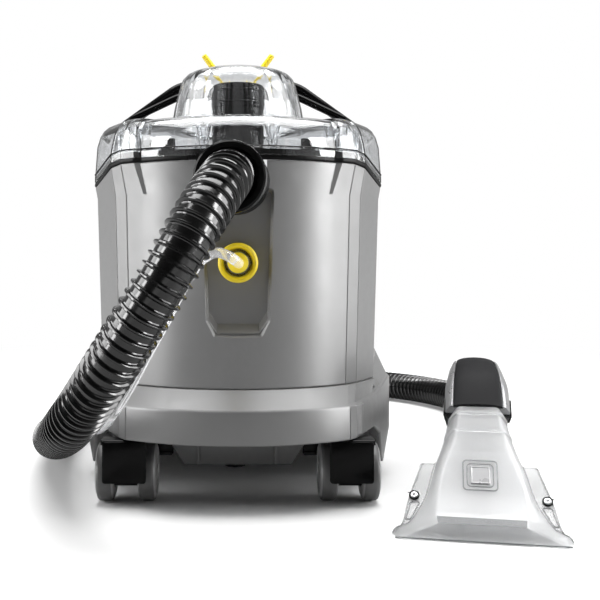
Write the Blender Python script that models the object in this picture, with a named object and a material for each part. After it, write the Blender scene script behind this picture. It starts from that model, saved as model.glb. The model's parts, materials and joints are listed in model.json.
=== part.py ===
"""Compact spray-extraction carpet cleaner with its suction hose, solution tube and hand tool.

Sizes are millimetres, and the mesh functions turn them into metres. X runs across the machine, Y from its
front to its back and Z up. The pieces are placed in the machine's own frame, whose origin is on the floor
under the foremost point of the base; MACHINE_FRAME then moves that frame so that the object's box stands
centred on the world's origin.
"""
import math

import bmesh
import bpy
from mathutils import Matrix, Vector

MM = 0.001
GAP = 0.3
CORD_GAP = 0.5
WALL = 3.0

# Where the machine's own frame lies in the world.
FRAME_X, FRAME_Y = -61.3, -221.2

# Front casing: an arc in front, two creases, flat sides and a flat back.
TANK_FRONT_Y, TANK_ARC_R = 20.0, 165.0
TANK_CREASES = ((109.4, 61.5), (120.3, 72.0), (143.4, 112.0))
TANK_BACK_Y, TANK_CORNER_R = 300.0, 34.0
TANK_FLOOR_Z = 113.3
TANK_FOOT_SCALE = 0.957
RIM_FRONT_Z, RIM_SIDE_Z = 325.0, 304.0

# Base.
BASE_ARC_R = 184.0
BASE_CREASE_X = 105.0
BASE_FRONT_Z, SKIRT_Z = 64.6, 13.5
LEDGE_Z, DECK_Z = 97.0, 113.0
FENDER_Z, FENDER_X = 143.0, 150.0
HALF_WIDTH, LENGTH = 165.0, 530.0

# Suction port, its recess and the solution coupling.
PORT_Z, PORT_R, PORT_LEAN = 303.0, 25.0, 7.0
RECESS_TOP, RECESS_FOOT, RECESS_Y = 296.5, 165.0, 36.0
COUPLING_Z = 230.0

# Lid and dome.
DOME_Y, DOME_BASE_R, DOME_TOP_Z = 150.0, 68.6, 439.0
ROOF_Z = 371.0

# Bails.
CARRY_Y, CARRY_PIVOT_X, CARRY_PIVOT_Z = 312.0, 146.0, 350.0
LID_BAIL_Y, LID_BAIL_X, LID_BAIL_Z = 270.0, 129.0, 384.0

# Wheels.
CASTER_X, CASTER_STEM_Y, CASTER_TRAIL = 107.0, 54.0, 16.0
CASTER_R, CASTER_WHEEL_IN, CASTER_WHEEL_OUT = 28.5, 11.6, 29.0
REAR_AXLE_Y, REAR_R, REAR_WHEEL_X, REAR_WHEEL_W = 400.0, 48.0, 146.0, 24.0

# Hand tool: its own frame has its origin on the floor under the middle of the lip.
TOOL_X, TOOL_Y, TOOL_YAW = 200.0, -75.0, 12.0
TRIGGER_PIVOT = (152.0, 90.0)
VALVE_V = 176.0

# Cords.
HOSE_R, TUBE_R = 23.5, 4.75


# Outlines and rings.

def arc(centre, radius, start, end, steps):
    """Points on an arc in the plane, from start to end in degrees."""
    angles = [math.radians(start + (end - start) * i / steps) for i in range(steps + 1)]
    return [Vector((centre[0] + radius * math.cos(a), centre[1] + radius * math.sin(a))) for a in angles]


def mirrored(half):
    """A closed counter-clockwise outline from its right half, listed from front to back."""
    return half + [Vector((-p.x, p.y)) for p in reversed(half) if p.x > GAP]


def inset(outline, distance):
    """The outline moved inwards by distance, with mitred corners."""
    moved = []
    for i, here in enumerate(outline):
        first = (here - outline[i - 1]).normalized()
        second = (outline[(i + 1) % len(outline)] - here).normalized()
        normal = Vector((-first.y, first.x))
        mitre = (normal + Vector((-second.y, second.x))).normalized()
        moved.append(here + mitre * (distance / mitre.dot(normal)))
    return moved


def level(outline, z):
    """The outline as a ring in space; z is a height, or a function of the point."""
    return [(p.x, p.y, z(p) if callable(z) else z) for p in outline]


def ramp(value, low, high):
    """0 below low, 1 above high and a smooth step between."""
    t = min(max((value - low) / (high - low), 0.0), 1.0)
    return t * t * (3 - 2 * t)


def rectangle(x0, y0, x1, y1):
    return [Vector((x0, y0)), Vector((x1, y0)), Vector((x1, y1)), Vector((x0, y1))]


# Meshes.

def material(name, colour, roughness, metallic=0.0, alpha=1.0):
    made = bpy.data.materials.new(name)
    made.use_nodes = True
    shader = made.node_tree.nodes["Principled BSDF"]
    shader.inputs["Base Color"].default_value = (*colour, 1.0)
    shader.inputs["Roughness"].default_value = roughness
    shader.inputs["Metallic"].default_value = metallic
    shader.inputs["Alpha"].default_value = alpha
    made.diffuse_color = (*colour, alpha)
    return made


def piece(name, points, faces, finish, at=(0, 0, 0), turn=(0, 0, 0), parent=None):
    """One object from points in millimetres, with its faces turned outwards."""
    mesh = bpy.data.meshes.new(name)
    mesh.from_pydata([Vector(p) * MM for p in points], [], faces)
    work = bmesh.new()
    work.from_mesh(mesh)
    bmesh.ops.recalc_face_normals(work, faces=work.faces)
    work.to_mesh(mesh)
    work.free()
    mesh.shade_smooth()
    mesh.set_sharp_from_angle(angle=math.radians(35))
    obj = bpy.data.objects.new(name, mesh)
    bpy.context.scene.collection.objects.link(obj)
    if finish:
        mesh.materials.append(finish)
    obj.location = Vector(at) * MM
    obj.rotation_euler = [math.radians(a) for a in turn]
    obj.parent = parent or MACHINE_FRAME
    return obj


def loft(name, rings, finish, closed=False, **placing):
    """A solid through rings of equal length, capped at both ends, or closed back on its first ring."""
    count = len(rings[0])
    points = [p for ring in rings for p in ring]
    faces = []
    for i in range(len(rings) if closed else len(rings) - 1):
        a, b = i * count, (i + 1) % len(rings) * count
        faces += [(a + k, a + (k + 1) % count, b + (k + 1) % count, b + k) for k in range(count)]
    if not closed:
        faces += [tuple(range(count)), tuple(len(points) - count + k for k in range(count))]
    return piece(name, points, faces, finish, **placing)


def turned(name, profile, finish, steps=24, closed=False, **placing):
    """A profile of (radius, height) turned about Z."""
    circle = [2 * math.pi * k / steps for k in range(steps)]
    rings = [[(r * math.cos(a), r * math.sin(a), z) for a in circle] for r, z in profile]
    return loft(name, rings, finish, closed, **placing)


def prism(name, outline, low, high, finish, **placing):
    """An outline in XY extruded along Z."""
    return loft(name, [level(outline, low), level(outline, high)], finish, **placing)


def block(name, low, high, finish, **placing):
    return prism(name, rectangle(low[0], low[1], high[0], high[1]), low[2], high[2], finish, **placing)


def swept(name, path, radii, finish, sides=12, bore=None, **placing):
    """A round bar or, with bore, a round tube along path; radii is one radius or one for each point."""
    path = [Vector(p) for p in path]
    radii = radii if isinstance(radii, (list, tuple)) else [radii] * len(path)
    along = [(path[min(i + 1, len(path) - 1)] - path[max(i - 1, 0)]).normalized() for i in range(len(path))]
    across = along[0].orthogonal().normalized()
    frames = []
    for direction in along:
        across = (across - direction * across.dot(direction)).normalized()
        frames.append((across, direction.cross(across)))
    circle = [2 * math.pi * k / sides for k in range(sides)]

    def ring(i, radius):
        u, v = frames[i]
        return [tuple(path[i] + (u * math.cos(a) + v * math.sin(a)) * radius) for a in circle]

    rings = [ring(i, radii[i]) for i in range(len(path))]
    if bore:
        rings += [ring(i, bore) for i in reversed(range(len(path)))]
    return loft(name, rings, finish, closed=bool(bore), **placing)


def apply_to(target, tool, operation, solver):
    """Joins tool to target or cuts it away, and keeps tool as a hidden helper."""
    step = target.modifiers.new(tool.name, "BOOLEAN")
    step.operation = operation
    step.solver = solver
    step.object = tool
    tool.hide_render = True
    tool.display_type = "WIRE"


def cut(target, *tools, solver="EXACT"):
    for tool in tools:
        apply_to(target, tool, "DIFFERENCE", solver)


def join(target, *tools, solver="EXACT"):
    for tool in tools:
        apply_to(target, tool, "UNION", solver)


def smooth_route(points, spacing):
    """Points about spacing apart on a Catmull-Rom curve through the given ones."""
    points = [Vector(p) for p in points]
    ends = [points[0] * 2 - points[1], *points, points[-1] * 2 - points[-2]]
    fine = []
    for a, b, c, d in zip(ends, ends[1:], ends[2:], ends[3:]):
        for k in range(24):
            t = k / 24
            fine.append(b + (c - a) * t / 2 + (a - b * 2.5 + c * 2 - d / 2) * t**2
                        + (b * 1.5 - a / 2 - c * 1.5 + d / 2) * t**3)
    fine.append(points[-1])
    lengths = [0.0]
    for a, b in zip(fine, fine[1:]):
        lengths.append(lengths[-1] + (b - a).length)
    steps = round(lengths[-1] / spacing)
    route, at = [], 0
    for i in range(steps + 1):
        wanted = lengths[-1] * i / steps
        while at < len(lengths) - 2 and lengths[at + 1] < wanted:
            at += 1
        share = (wanted - lengths[at]) / (lengths[at + 1] - lengths[at])
        route.append(fine[at].lerp(fine[at + 1], share))
    return route


def cord(name, route, radius, spacing, finish, resolution):
    """A free cord as a round curve along a smooth route, with a straight lead at each end."""
    curve = bpy.data.curves.new(name, "CURVE")
    curve.dimensions = "3D"
    points = smooth_route(route, spacing)
    points.insert(1, Vector(route[1]))
    points.insert(-1, Vector(route[-2]))
    spline = curve.splines.new("POLY")
    spline.points.add(len(points) - 1)
    for target, p in zip(spline.points, points):
        target.co = (*(p * MM), 1.0)
    curve.bevel_depth = radius * MM
    curve.bevel_resolution = resolution
    curve.use_fill_caps = True
    curve.materials.append(finish)
    obj = bpy.data.objects.new(name, curve)
    bpy.context.scene.collection.objects.link(obj)
    obj.parent = MACHINE_FRAME


# Front casing.

def tank_half():
    """Right half of the casing's outline at its rim."""
    sweep = math.degrees(math.asin(TANK_CREASES[0][0] / TANK_ARC_R))
    front = arc((0, TANK_FRONT_Y + TANK_ARC_R), TANK_ARC_R, -90, -90 + sweep, 6)
    side_x = TANK_CREASES[2][0]
    corner = arc((side_x - TANK_CORNER_R, TANK_BACK_Y - TANK_CORNER_R), TANK_CORNER_R, 0, 90, 3)
    return front + [Vector(p) for p in TANK_CREASES[1:]] + [Vector((side_x, 150.0))] + corner


def tank_outline():
    return mirrored(tank_half())


def tank_foot():
    return [Vector((p.x * TANK_FOOT_SCALE, p.y)) for p in tank_outline()]


def rim_z(p):
    """Height of the casing's rim, which falls from the front to the sides."""
    return RIM_FRONT_Z - (RIM_FRONT_Z - RIM_SIDE_Z) * ramp(p.y, 55, 128)


def rim_ring(distance, up):
    """The rim's outline moved inwards by distance, at the rim's own height plus up."""
    outline = tank_outline()
    return [(q.x, q.y, rim_z(p) + up) for p, q in zip(outline, inset(outline, distance))]


def recess_half(extra):
    """Right half of the front recess in (x, z), wider by extra, listed from its foot upwards."""
    return [(19.5 + extra, RECESS_FOOT - extra), (27.5 + extra, 177.0 - extra), (31.3 + extra, RECESS_TOP + extra)]


def recess_block(name, extra, back, foot_rise):
    """The recess as a solid between y = 0 and y = back; its foot rises by foot_rise towards the back."""
    half = recess_half(extra)
    front = half + [(-x, z) for x, z in reversed(half)]
    rear = [(x, z + foot_rise if z < RECESS_TOP - 50 else z) for x, z in front]
    rings = [[(x, 0.0, z) for x, z in front], [(x, TANK_FRONT_Y + 2, z) for x, z in front],
             [(x, back, z) for x, z in rear]]
    return loft(name, rings, None)


def port_slot(name, radius, low_y, high_y, top):
    """A slot with a round foot, open upwards, through the casing's front wall."""
    foot = arc((0, PORT_Z), radius, 180, 360, 12)
    outline = foot + [Vector((radius, top)), Vector((-radius, top))]
    rings = [[(p.x, y, p.y) for p in outline] for y in (low_y, high_y)]
    return loft(name, rings, None)


def make_tank_housing():
    tank = loft("tank_housing", [level(tank_foot(), TANK_FLOOR_Z), rim_ring(0, 0), rim_ring(WALL + 1, 0)], GREY)
    inner_foot, inner_top = inset(tank_foot(), WALL), inset(tank_outline(), WALL)
    cavity = loft("tank_cavity", [level(inner_foot, TANK_FLOOR_Z + WALL), level(inner_top, 340.0)], None)
    cut(cavity, recess_block("recess_backing", WALL, RECESS_Y + WALL, 8.0), solver="MANIFOLD")
    cut(tank, cavity, recess_block("recess_space", 0.0, RECESS_Y, 8.0), solver="MANIFOLD")
    cut(tank, port_slot("port_slot", 26.6, 0.0, 47.0, 345.0), solver="MANIFOLD")
    cavity.hide_render = True
    for side in (-1, 1):
        rib = block("tank_rib", (side * 60 - 1.5, 80, 115), (side * 60 + 1.5, 270, 189.7), None)
        join(tank, rib, solver="MANIFOLD")


def make_suction_port():
    """The flanged pipe through the front wall, whose outer nozzle leans to one side."""
    lean = math.radians(PORT_LEAN)
    tip = Vector((-math.sin(lean), -math.cos(lean), 0))
    root = Vector((0, 12, PORT_Z))
    path = [(0, 50, PORT_Z), (0, 19.8, PORT_Z), (0, 19.5, PORT_Z), (0, 14.5, PORT_Z), (0, 14.2, PORT_Z),
            root, root + tip * 18, root + tip * 34]
    radii = [26.0, 26.0, 33.0, 33.0, PORT_R, PORT_R, PORT_R, PORT_R - 0.6]
    swept("suction_port", path, radii, BLACK, sides=20, bore=21.0)
    start, end = root + tip * 7, root + tip * 61.5
    steps = [(0, 28.6), (2, 29.4), (30, 29.0), (42, 28.6), (43, 31.6), (52.5, 31.6), (54.5, 30.4)]
    sleeve = [start + tip * s for s, _ in steps]
    swept("hose_cuff", sleeve, [r for _, r in steps], BLACK, sides=20, bore=PORT_R + 0.4)
    return end, tip


def make_coupling():
    """The solution coupling in the recess: body, release collar and the tube's plug, all about Y."""
    place = {"at": (0, RECESS_Y - GAP, COUPLING_Z), "turn": (90, 0, 0)}
    body = [(13, 0), (18, 0), (18, 3), (15.6, 4), (15.6, 19), (18.4, 21), (18.4, 26.5), (17, 28), (13, 28)]
    turned("coupling_body", body, YELLOW, 20, closed=True, **place)
    collar = [(8.2, 6), (12.4, 6), (12.4, 28), (11.6, 30), (8.2, 30)]
    turned("release_collar", collar, CLEAR, 16, closed=True, **place)
    plug = [(7.6, 0.3), (7.6, 31), (9.4, 31.5), (9.4, 34.5), (5.4, 35.5)]
    turned("tube_plug", plug, YELLOW, 16, **place)


def make_fresh_water_filter():
    profile = [(16, 0), (16, 4), (11, 6), (11, 36), (8, 39)]
    turned("fresh_water_filter", profile, WHITE, 16, at=(0, 60, TANK_FLOOR_Z + WALL + GAP))


# Base.

def base_half(front_y, radius, crease_x, sides, corner_r, back_y):
    """Right half of one of the base's outlines."""
    sweep = math.degrees(math.asin(crease_x / radius))
    front = arc((0, front_y + radius), radius, -90, -90 + sweep, 6)
    corner = arc((sides[-1][0] - corner_r, back_y - corner_r), corner_r, 0, 90, 4)
    return front + [Vector(p) for p in sides] + corner


def base_outline():
    sides = [(112.5, 43), (139, 112), (151, 143), (159, 165), (HALF_WIDTH, 184)]
    return mirrored(base_half(0, BASE_ARC_R, BASE_CREASE_X, sides, 60, LENGTH))


def deck_outline():
    sides = [(114.5, 72.5), (138, 112), (142, 143), (FENDER_X - 4, 165), (FENDER_X, 184)]
    return mirrored(base_half(TANK_FRONT_Y - 1, TANK_ARC_R, 105, sides, 46, LENGTH - 12))


def skirt_z(p):
    """Height of the base's lower edge, which drops from the front to the side skirts."""
    return BASE_FRONT_Z - (BASE_FRONT_Z - SKIRT_Z) * ramp(p.y, 125, 184) * (1 - 0.35 * ramp(p.y, 460, 520))


def ledge_z(p):
    return LEDGE_Z + 12 * ramp(p.y, 120, 184)


def fender_z(p):
    """Height of the upper edge, which rises into a low fender beside the casing."""
    return DECK_Z + (FENDER_Z - DECK_Z) * ramp(p.y, 143, 205) * (1 - ramp(p.y, 400, 500))


def make_base_housing():
    outer, deck = base_outline(), deck_outline()
    rings = [level(inset(deck, 5), DECK_Z - WALL), level(inset(outer, WALL), lambda p: ledge_z(p) - 4),
             level(inset(outer, WALL), skirt_z), level(outer, skirt_z), level(outer, ledge_z),
             level(deck, fender_z), level(inset(deck, 3), DECK_Z)]
    base = loft("base_housing", rings, GREY)
    arch = turned("wheel_arch", [(REAR_R + 9, -200), (REAR_R + 9, 200)], None, 24,
                  at=(0, REAR_AXLE_Y, REAR_R), turn=(0, 90, 0))
    cut(base, arch)
    for side in (-1, 1):
        boss = turned("caster_boss", [(5.4, 0), (12, 0), (13, 28), (5.4, 28)], None, 12, closed=True,
                      at=(side * CASTER_X, CASTER_STEM_Y, 68))
        bracket = loft("axle_bracket", [[(x, 380, 38), (x, 420, 38), (x, 432, 111.5), (x, 368, 111.5)]
                                        for x in (side * 112, side * 118)], None)
        join(base, boss, bracket)
    bore = turned("axle_bore", [(5.4, -125), (5.4, 125)], None, 16,
                  at=(0, REAR_AXLE_Y, REAR_R), turn=(0, 90, 0))
    cut(base, bore)


def six(x0, y0, x1, y1, xm, ym):
    """A six-cornered outline, symmetrical about Y, from its front, middle and back half-widths."""
    half = [(x0, y0), (xm, ym), (x1, y1)]
    return [Vector(p) for p in half] + [Vector((-x, y)) for x, y in reversed(half)]


def make_underside():
    flange = six(129, 106, 157, 300, 156, 184)
    rings = [level(six(55, 114, 55, 246, 55, 180), 27), level(six(66, 110, 66, 250, 66, 180), 66),
             level(flange, 66.2), level(flange, 69), level(six(63, 113, 63, 247, 63, 180), 69.2),
             level(six(52, 117, 52, 243, 52, 180), 30)]
    loft("underside_cover", rings, GREY)
    turned("drain_plug", [(7, 0), (11, 1), (11, 5), (9, 5.7)], BLACK, 16, at=(-3, 128, 21))


def make_pump():
    body = block("pump_body", (-34, 150, 30.4), (34, 208, 84), BLACK)
    head = turned("pump_head", [(20, 0), (20, 22), (14, 26)], None, 16, at=(0, 180, 83))
    join(body, head)
    cut(body, turned("plunger_bore", [(8.4, 0), (8.4, 40)], None, 16, at=(0, 172, 58), turn=(-90, 0, 0)))
    turned("pump_plunger", [(7.4, 0), (7.8, 1), (7.8, 38), (6, 40)], STEEL, 16,
           at=(0, 180, 58), turn=(-90, 0, 0))


# Dirty-water tank and what stands on it.

def dirty_outline():
    front = arc((0, 56 + TANK_ARC_R), TANK_ARC_R, -90, -90 + math.degrees(math.asin(98 / TANK_ARC_R)), 6)
    return mirrored(front + [Vector((106, 97)), Vector((128, 130)), Vector((128, 278)), Vector((118, 288))])


def riser_slot(name, low, high):
    """The room that the riser needs through the tank's front wall and the plate."""
    outline = arc((0, 128), 29.5, 0, 180, 8) + [Vector((-29.5, 10)), Vector((29.5, 10))]
    return prism(name, outline, low, high, None)


def make_dirty_water_tank():
    outer = dirty_outline()
    lower = [Vector((p.x * 0.97, p.y)) for p in outer]
    rings = [level(lower, 190), level(outer, 316), level(inset(outer, 2.5), 316), level(inset(lower, 2.5), 192.5)]
    tank = loft("dirty_water_tank", rings, CLEAR)
    cut(tank, riser_slot("riser_notch", 274, 330))
    plate = prism("separator_plate", inset(tank_outline(), 4.5), 316.3, 320, BLACK)
    cut(plate, riser_slot("plate_slot", 300, 330))
    for side in (-1, 1):
        cut(plate, turned("water_return", [(22, 300), (22, 330)], None, 20, at=(side * 78, 150, 0)))
    basket = [(20.5, 262), (20.5, 315.7), (18.5, 315.7), (18.5, 264)]
    turned("lint_filter", basket, STEEL, 20, at=(-78, 150, 0))


def make_riser_duct():
    """The inlet elbow that turns the air upwards into the dome."""
    bend = [(0, 100 + p.x, PORT_Z + 28 + p.y) for p in arc((0, 0), 28, -90, 0, 5)]
    path = [(0, 53, PORT_Z), *bend, (0, 128, 345), (0, 128, 346), (0, 128, 412)]
    radii = [25.0] * 8 + [27.5] * 2
    swept("riser_duct", path, radii, BLACK, sides=18, bore=21.0)


def make_float():
    cage = turned("float_cage", [(19, 0), (22, 0), (22, 40), (6, 41.5), (6, 38.5), (19, 38.5)], BLACK, 16,
                  closed=True, at=(0, 188, 320.3))
    for turn in (0, 90):
        cut(cage, block("cage_window", (-30, -7, 9), (30, 7, 32), None, at=(0, 188, 320.3), turn=(0, 0, turn)))
    ball = [(13 * math.cos(math.radians(a)), 13 * math.sin(math.radians(a))) for a in range(-75, 76, 25)]
    turned("float_ball", ball, YELLOW, 16, at=(0, 188, 334.5))


# Lid.

def shoulder(p):
    """1 at the lid's two front corners, where it bulges, and 0 elsewhere."""
    return ramp(abs(p.x), 96, 116) * (1 - ramp(p.y, 118, 150))


def lid_ring(base, out, out_corner, z, z_corner):
    """A ring of the lid, moved out from the casing's outline more at the front corners than elsewhere."""
    plain, corner = inset(base, -out), inset(base, -out_corner)
    ring = []
    for here, a, b in zip(base, plain, corner):
        share = shoulder(here)
        q = a.lerp(b, share)
        low = z(here) if callable(z) else z
        high = z_corner(here) if callable(z_corner) else z_corner
        ring.append((q.x, q.y, low + (high - low) * share))
    return ring


def dome_circle(base, radius, z):
    """A circle about the dome's axis with one point for each point of the outline."""
    ring = []
    for p in base:
        away = (p - Vector((0, DOME_Y))).normalized() * radius
        ring.append((away.x, DOME_Y + away.y, z))
    return ring


def port_arch(name, radius):
    """A round cutter along Y that clears the port's flange."""
    return turned(name, [(radius, -45), (radius, 45)], None, 24, at=(0, 5, PORT_Z), turn=(90, 0, 0))


def make_lid():
    base = tank_outline()
    outer = [(3.0, 3.0, lambda p: rim_z(p) + 4.8, lambda p: rim_z(p) + 4.8),
             (3.0, 3.0, lambda p: rim_z(p) + 12, lambda p: rim_z(p) + 12),
             (1.0, 2.0, lambda p: rim_z(p) + 13, lambda p: rim_z(p) + 14),
             (-1.0, -1.0, 349, 348), (-6.0, -8.0, 362, 364), (-13.0, -18.0, 368, 371), (-26.0, -30.0, 369.5, 371)]
    inner = [(out - 2.4, corner - 2.4, z, high) for out, corner, z, high in outer[:4]]
    inner += [(-8.6, -10.6, 360.2, 362.2), (-15.0, -20.4, 365.8, 368.6), (-28.0, -32.0, 367.2, 368.6)]
    rings = [lid_ring(base, *spec) for spec in outer]
    rings += [dome_circle(base, 62, ROOF_Z), dome_circle(base, 62, ROOF_Z - 2.4)]
    rings += [lid_ring(base, *spec) for spec in reversed(inner)]
    lid = loft("lid", rings, CLEAR, closed=True)
    cut(lid, port_arch("lid_port_arch", 34.6))
    make_lid_lugs()

    seal = [rim_ring(-1.8, GAP), rim_ring(-1.8, 4.2), rim_ring(2.8, 4.2), rim_ring(2.8, GAP)]
    gasket = loft("lid_gasket", seal, RUBBER, closed=True)
    cut(gasket, port_arch("gasket_port_arch", 34.6))


def make_lid_lugs():
    """The two posts that stand on the roof's edges and carry the lid's bail."""
    for side, name in ((-1, "lid_lug_left"), (1, "lid_lug_right")):
        low, high = sorted((side * 118, side * 124.4))
        lug = block(name, (low, 263, 369.9), (high, 277, 389), BLACK)
        join(lug, turned("lug_stub", [(3, -1), (3, 9.6)], None, 12,
                         at=(side * 124, LID_BAIL_Y, LID_BAIL_Z), turn=(0, side * 90, 0)))


def make_dome():
    outer = [(72, 371.3), (72, 374), (DOME_BASE_R, 375.5), (62.6, 406), (59, 419), (53.5, 429),
             (42, 435.2), (8, DOME_TOP_Z)]
    inner = [(69.5, 371.3), (66, 375.5), (60.1, 406), (51.5, 427), (41, 432.7), (8, DOME_TOP_Z - 2.5)]
    turned("dome", list(reversed(inner)) + outer, CLEAR, 28, at=(0, DOME_Y, 0))


# Bails and the cord hook.

def bail(name, path, eye_x, eye, finish, radius, at):
    """A round bail about the pivot at its own origin, with a flat eye (inner r, outer r, width) at each end."""
    bar = swept(name, path, radius, finish, sides=8, at=at)
    inner, outer, width = eye
    profile = [(inner, -width / 2), (outer, -width / 2), (outer, width / 2), (inner, width / 2)]
    for side in (-1, 1):
        join(bar, turned("bail_eye", profile, None, 14, closed=True, turn=(0, 90, 0),
                         at=(at[0] + side * eye_x, at[1], at[2])))
    return bar


def bail_path(foot_x, elbow_z, top_x, top_z, start):
    """Half a bail's path in front view, mirrored: up from the eye, in along the slanted arm, level at the top."""
    half = [(-foot_x, start), (-foot_x, elbow_z), (-foot_x + 2.5, elbow_z + 7), (-top_x - 7, top_z - 4.5),
            (-top_x + 4, top_z)]
    return [(x, 0, z) for x, z in half] + [(-x, 0, z) for x, z in reversed(half)]


def make_bails():
    path = bail_path(CARRY_PIVOT_X, 38.0, 70.0, 97.0, 7.6)
    bail("carry_handle", path, CARRY_PIVOT_X, (4.4, 10.5, 9.0), BLACK, 6.0, (0, CARRY_Y, CARRY_PIVOT_Z))
    path = bail_path(LID_BAIL_X, 9.0, 70.0, 44.0, 5.6)
    bail("lid_handle", path, LID_BAIL_X, (3.4, 7.5, 6.0), BLACK, 4.2, (0, LID_BAIL_Y, LID_BAIL_Z))
    for side, name in ((-1, "handle_pin_left"), (1, "handle_pin_right")):
        turned(name, [(4, 0), (4, 28), (7.5, 28.3), (7.5, 31)], STEEL, 16,
               at=(side * 123, CARRY_Y, CARRY_PIVOT_Z), turn=(0, side * 90, 0))


def make_cord_hook():
    """A clip that turns on the carry handle's top bar, with two prongs."""
    top = CARRY_PIVOT_Z + 97.0
    at = (0, CARRY_Y, top)
    clip = turned("cord_hook", [(6.5, -23), (9.5, -23), (9.5, 23), (6.5, 23)], YELLOW, 16, closed=True,
                  at=at, turn=(0, 90, 0))
    for side in (-1, 1):
        foot = (side * 19.5, 0, 7.6)
        prong = swept("prong", [foot, (side * 24.5, 0, 15), (side * 42.3, 0, 38.5)], [3.2, 3.0, 2.5], None, 8,
                      at=at)
        join(clip, prong)


# Rear housing and the turbine.

def rear_half(side_x, back_y, corner_r, front_y=304.0):
    corner = arc((side_x - corner_r, back_y - corner_r), corner_r, 0, 90, 4)
    return [Vector((side_x - 5, front_y)), Vector((side_x, front_y + 5))] + corner


def make_rear_housing():
    outer = [(144, 512, 40, 113.4, 0), (143, 508, 40, 200, 0), (137, 486, 38, 290, 0), (131, 474, 36, 322, 0),
             (120, 462, 34, 332, 9)]
    rings = [level(mirrored(rear_half(x, y, r, 304 + back)), z) for x, y, r, z, back in outer]
    shell = [level(inset(mirrored(rear_half(x, y, r, 304 + back)), WALL), z - (WALL if z > 300 else 0))
             for x, y, r, z, back in outer]
    shell = list(reversed(shell))
    housing = loft("rear_housing", shell + rings, GREY)
    for side in (-1, 1):
        low, high = sorted((side * 124, side * 139))
        ear = loft("handle_ear", [[(x, 305, 300), (x, 330, 300), (x, 322, 360), (x, 318, 363), (x, 306, 363),
                                   (x, 302, 360)] for x in (low, high)], None)
        join(housing, ear)
    cut(housing, turned("pin_bore", [(4.4, -150), (4.4, 150)], None, 16,
                        at=(0, CARRY_Y, CARRY_PIVOT_Z), turn=(0, 90, 0)))
    make_back_panel()
    make_switches()


def make_back_panel():
    """The exhaust grille, which follows the slope of the back, and the mains inlet below it."""
    slope = math.degrees(math.atan2(508 - 486, 90))
    place = {"at": (0, 497.6, 245), "turn": (slope, 0, 0)}
    grille = prism("exhaust_grille", rectangle(-54, -0.4, 54, 3.6), -32, 32, BLACK, **place)
    slots = [block("grille_slot", (-46, -5, z - 2.4), (46, 8, z + 2.4), None, **place) for z in range(-24, 25, 12)]
    cut(grille, *slots)
    turned("cable_inlet", [(13, 0), (13, 3), (10, 4), (8, 20), (4, 20), (4, 4)], BLACK, 16,
           at=(72, 511.6, 158), turn=(-90, 0, 0))


def make_switches():
    prism("switch_panel", rectangle(-58, 355, 58, 415), 332.3, 335.3, BLACK)
    profile = [(-14, 3.0), (0, 1.0), (14, 3.0), (13, 7.4), (0, 5.4), (-13, 7.4)]
    for x, name in ((-26, "suction_switch"), (26, "pump_switch")):
        rings = [[(end, y, z) for y, z in profile] for end in (-13, 13)]
        loft(name, rings, GREY_DARK, at=(x, 385, 335.4))


def make_turbine():
    at = (0, 402, 0)
    turned("fan_case", [(66, 113.4), (66, 152), (63, 152), (63, 116.4)], BLACK, 24, at=at)
    turned("turbine_motor", [(4, 124), (4, 152.4), (66, 152.4), (66, 156), (48, 157), (48, 250), (40, 262),
                             (20, 266)], STEEL, 20, at=at)
    disc = turned("impeller", [(4.5, 120), (58, 120), (58, 122.5), (10, 124), (10, 146), (4.5, 146)], STEEL, 18,
                  closed=True, at=at)
    for k in range(6):
        join(disc, block("fan_blade", (8, -1, 121), (56, 1, 144), None, at=at, turn=(0, 0, 60 * k)))


# Wheels.

def make_casters():
    axle_z, axle_y = CASTER_R, CASTER_STEM_Y + CASTER_TRAIL
    for side, name in ((-1, "left"), (1, "right")):
        x = side * CASTER_X
        hood = [(-17, 59), (-17, 63.8), (27, 63.8), (33, 58), (33, 52), (25, 59)]
        web = [(-13, 61), (-8, 24), (4, 16.5), (24, 14), (36, 22), (34, 61)]
        fork = loft(f"caster_fork_{name}", [[(u, y, z) for y, z in web] for u in (-10.8, 10.8)], BLACK,
                    at=(x, CASTER_STEM_Y, 0))
        join(fork, loft("caster_hood", [[(u, y, z) for y, z in hood] for u in (-22, 22)], None,
                        at=(x, CASTER_STEM_Y, 0)))
        join(fork, block("caster_shield", (-20.5, -17.5, 23), (20.5, -13.5, 62), None, at=(x, CASTER_STEM_Y, 0)))
        join(fork, turned("caster_stem", [(5.6, 62), (5.6, 67), (5, 67.5), (5, 92)], None, 16,
                          at=(x, CASTER_STEM_Y, 0)))
        join(fork, turned("caster_axle", [(4, -27), (4, -21), (12.5, -21), (12.5, 21), (4, 21), (4, 27)], None, 16,
                          at=(x, axle_y, axle_z), turn=(0, 90, 0)))
        for face, which in ((side, "outer"), (-side, "inner")):
            r, near, far = CASTER_R, CASTER_WHEEL_IN, CASTER_WHEEL_OUT
            profile = [(4.4, 21.4), (15.5, 21.4), (15.5, near), (25.5, near), (r, near + 4),
                       (r, far - 4), (25.5, far), (4.4, far - 1)]
            turned(f"caster_{name}_{which}_wheel", profile, TYRE, 18, closed=True,
                   at=(x, axle_y, axle_z), turn=(0, 90 * face, 0))


def make_rear_wheels():
    axle = [(5, -161), (5, 161)]
    turned("rear_axle", axle, STEEL, 16, at=(0, REAR_AXLE_Y, REAR_R), turn=(0, 90, 0))
    half = REAR_WHEEL_W / 2
    profile = [(5.4, -half), (12, -half), (12, -half + 4), (36, -half + 4), (36, -half), (44, -half),
               (REAR_R, -half + 4), (REAR_R, half - 4), (44, half), (36, half), (36, half - 4),
               (12, half - 4), (12, half), (5.4, half)]
    for side, name in ((-1, "rear_wheel_left"), (1, "rear_wheel_right")):
        turned(name, profile, TYRE, 20, closed=True,
               at=(side * REAR_WHEEL_X, REAR_AXLE_Y, REAR_R), turn=(0, 90, 0))


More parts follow.
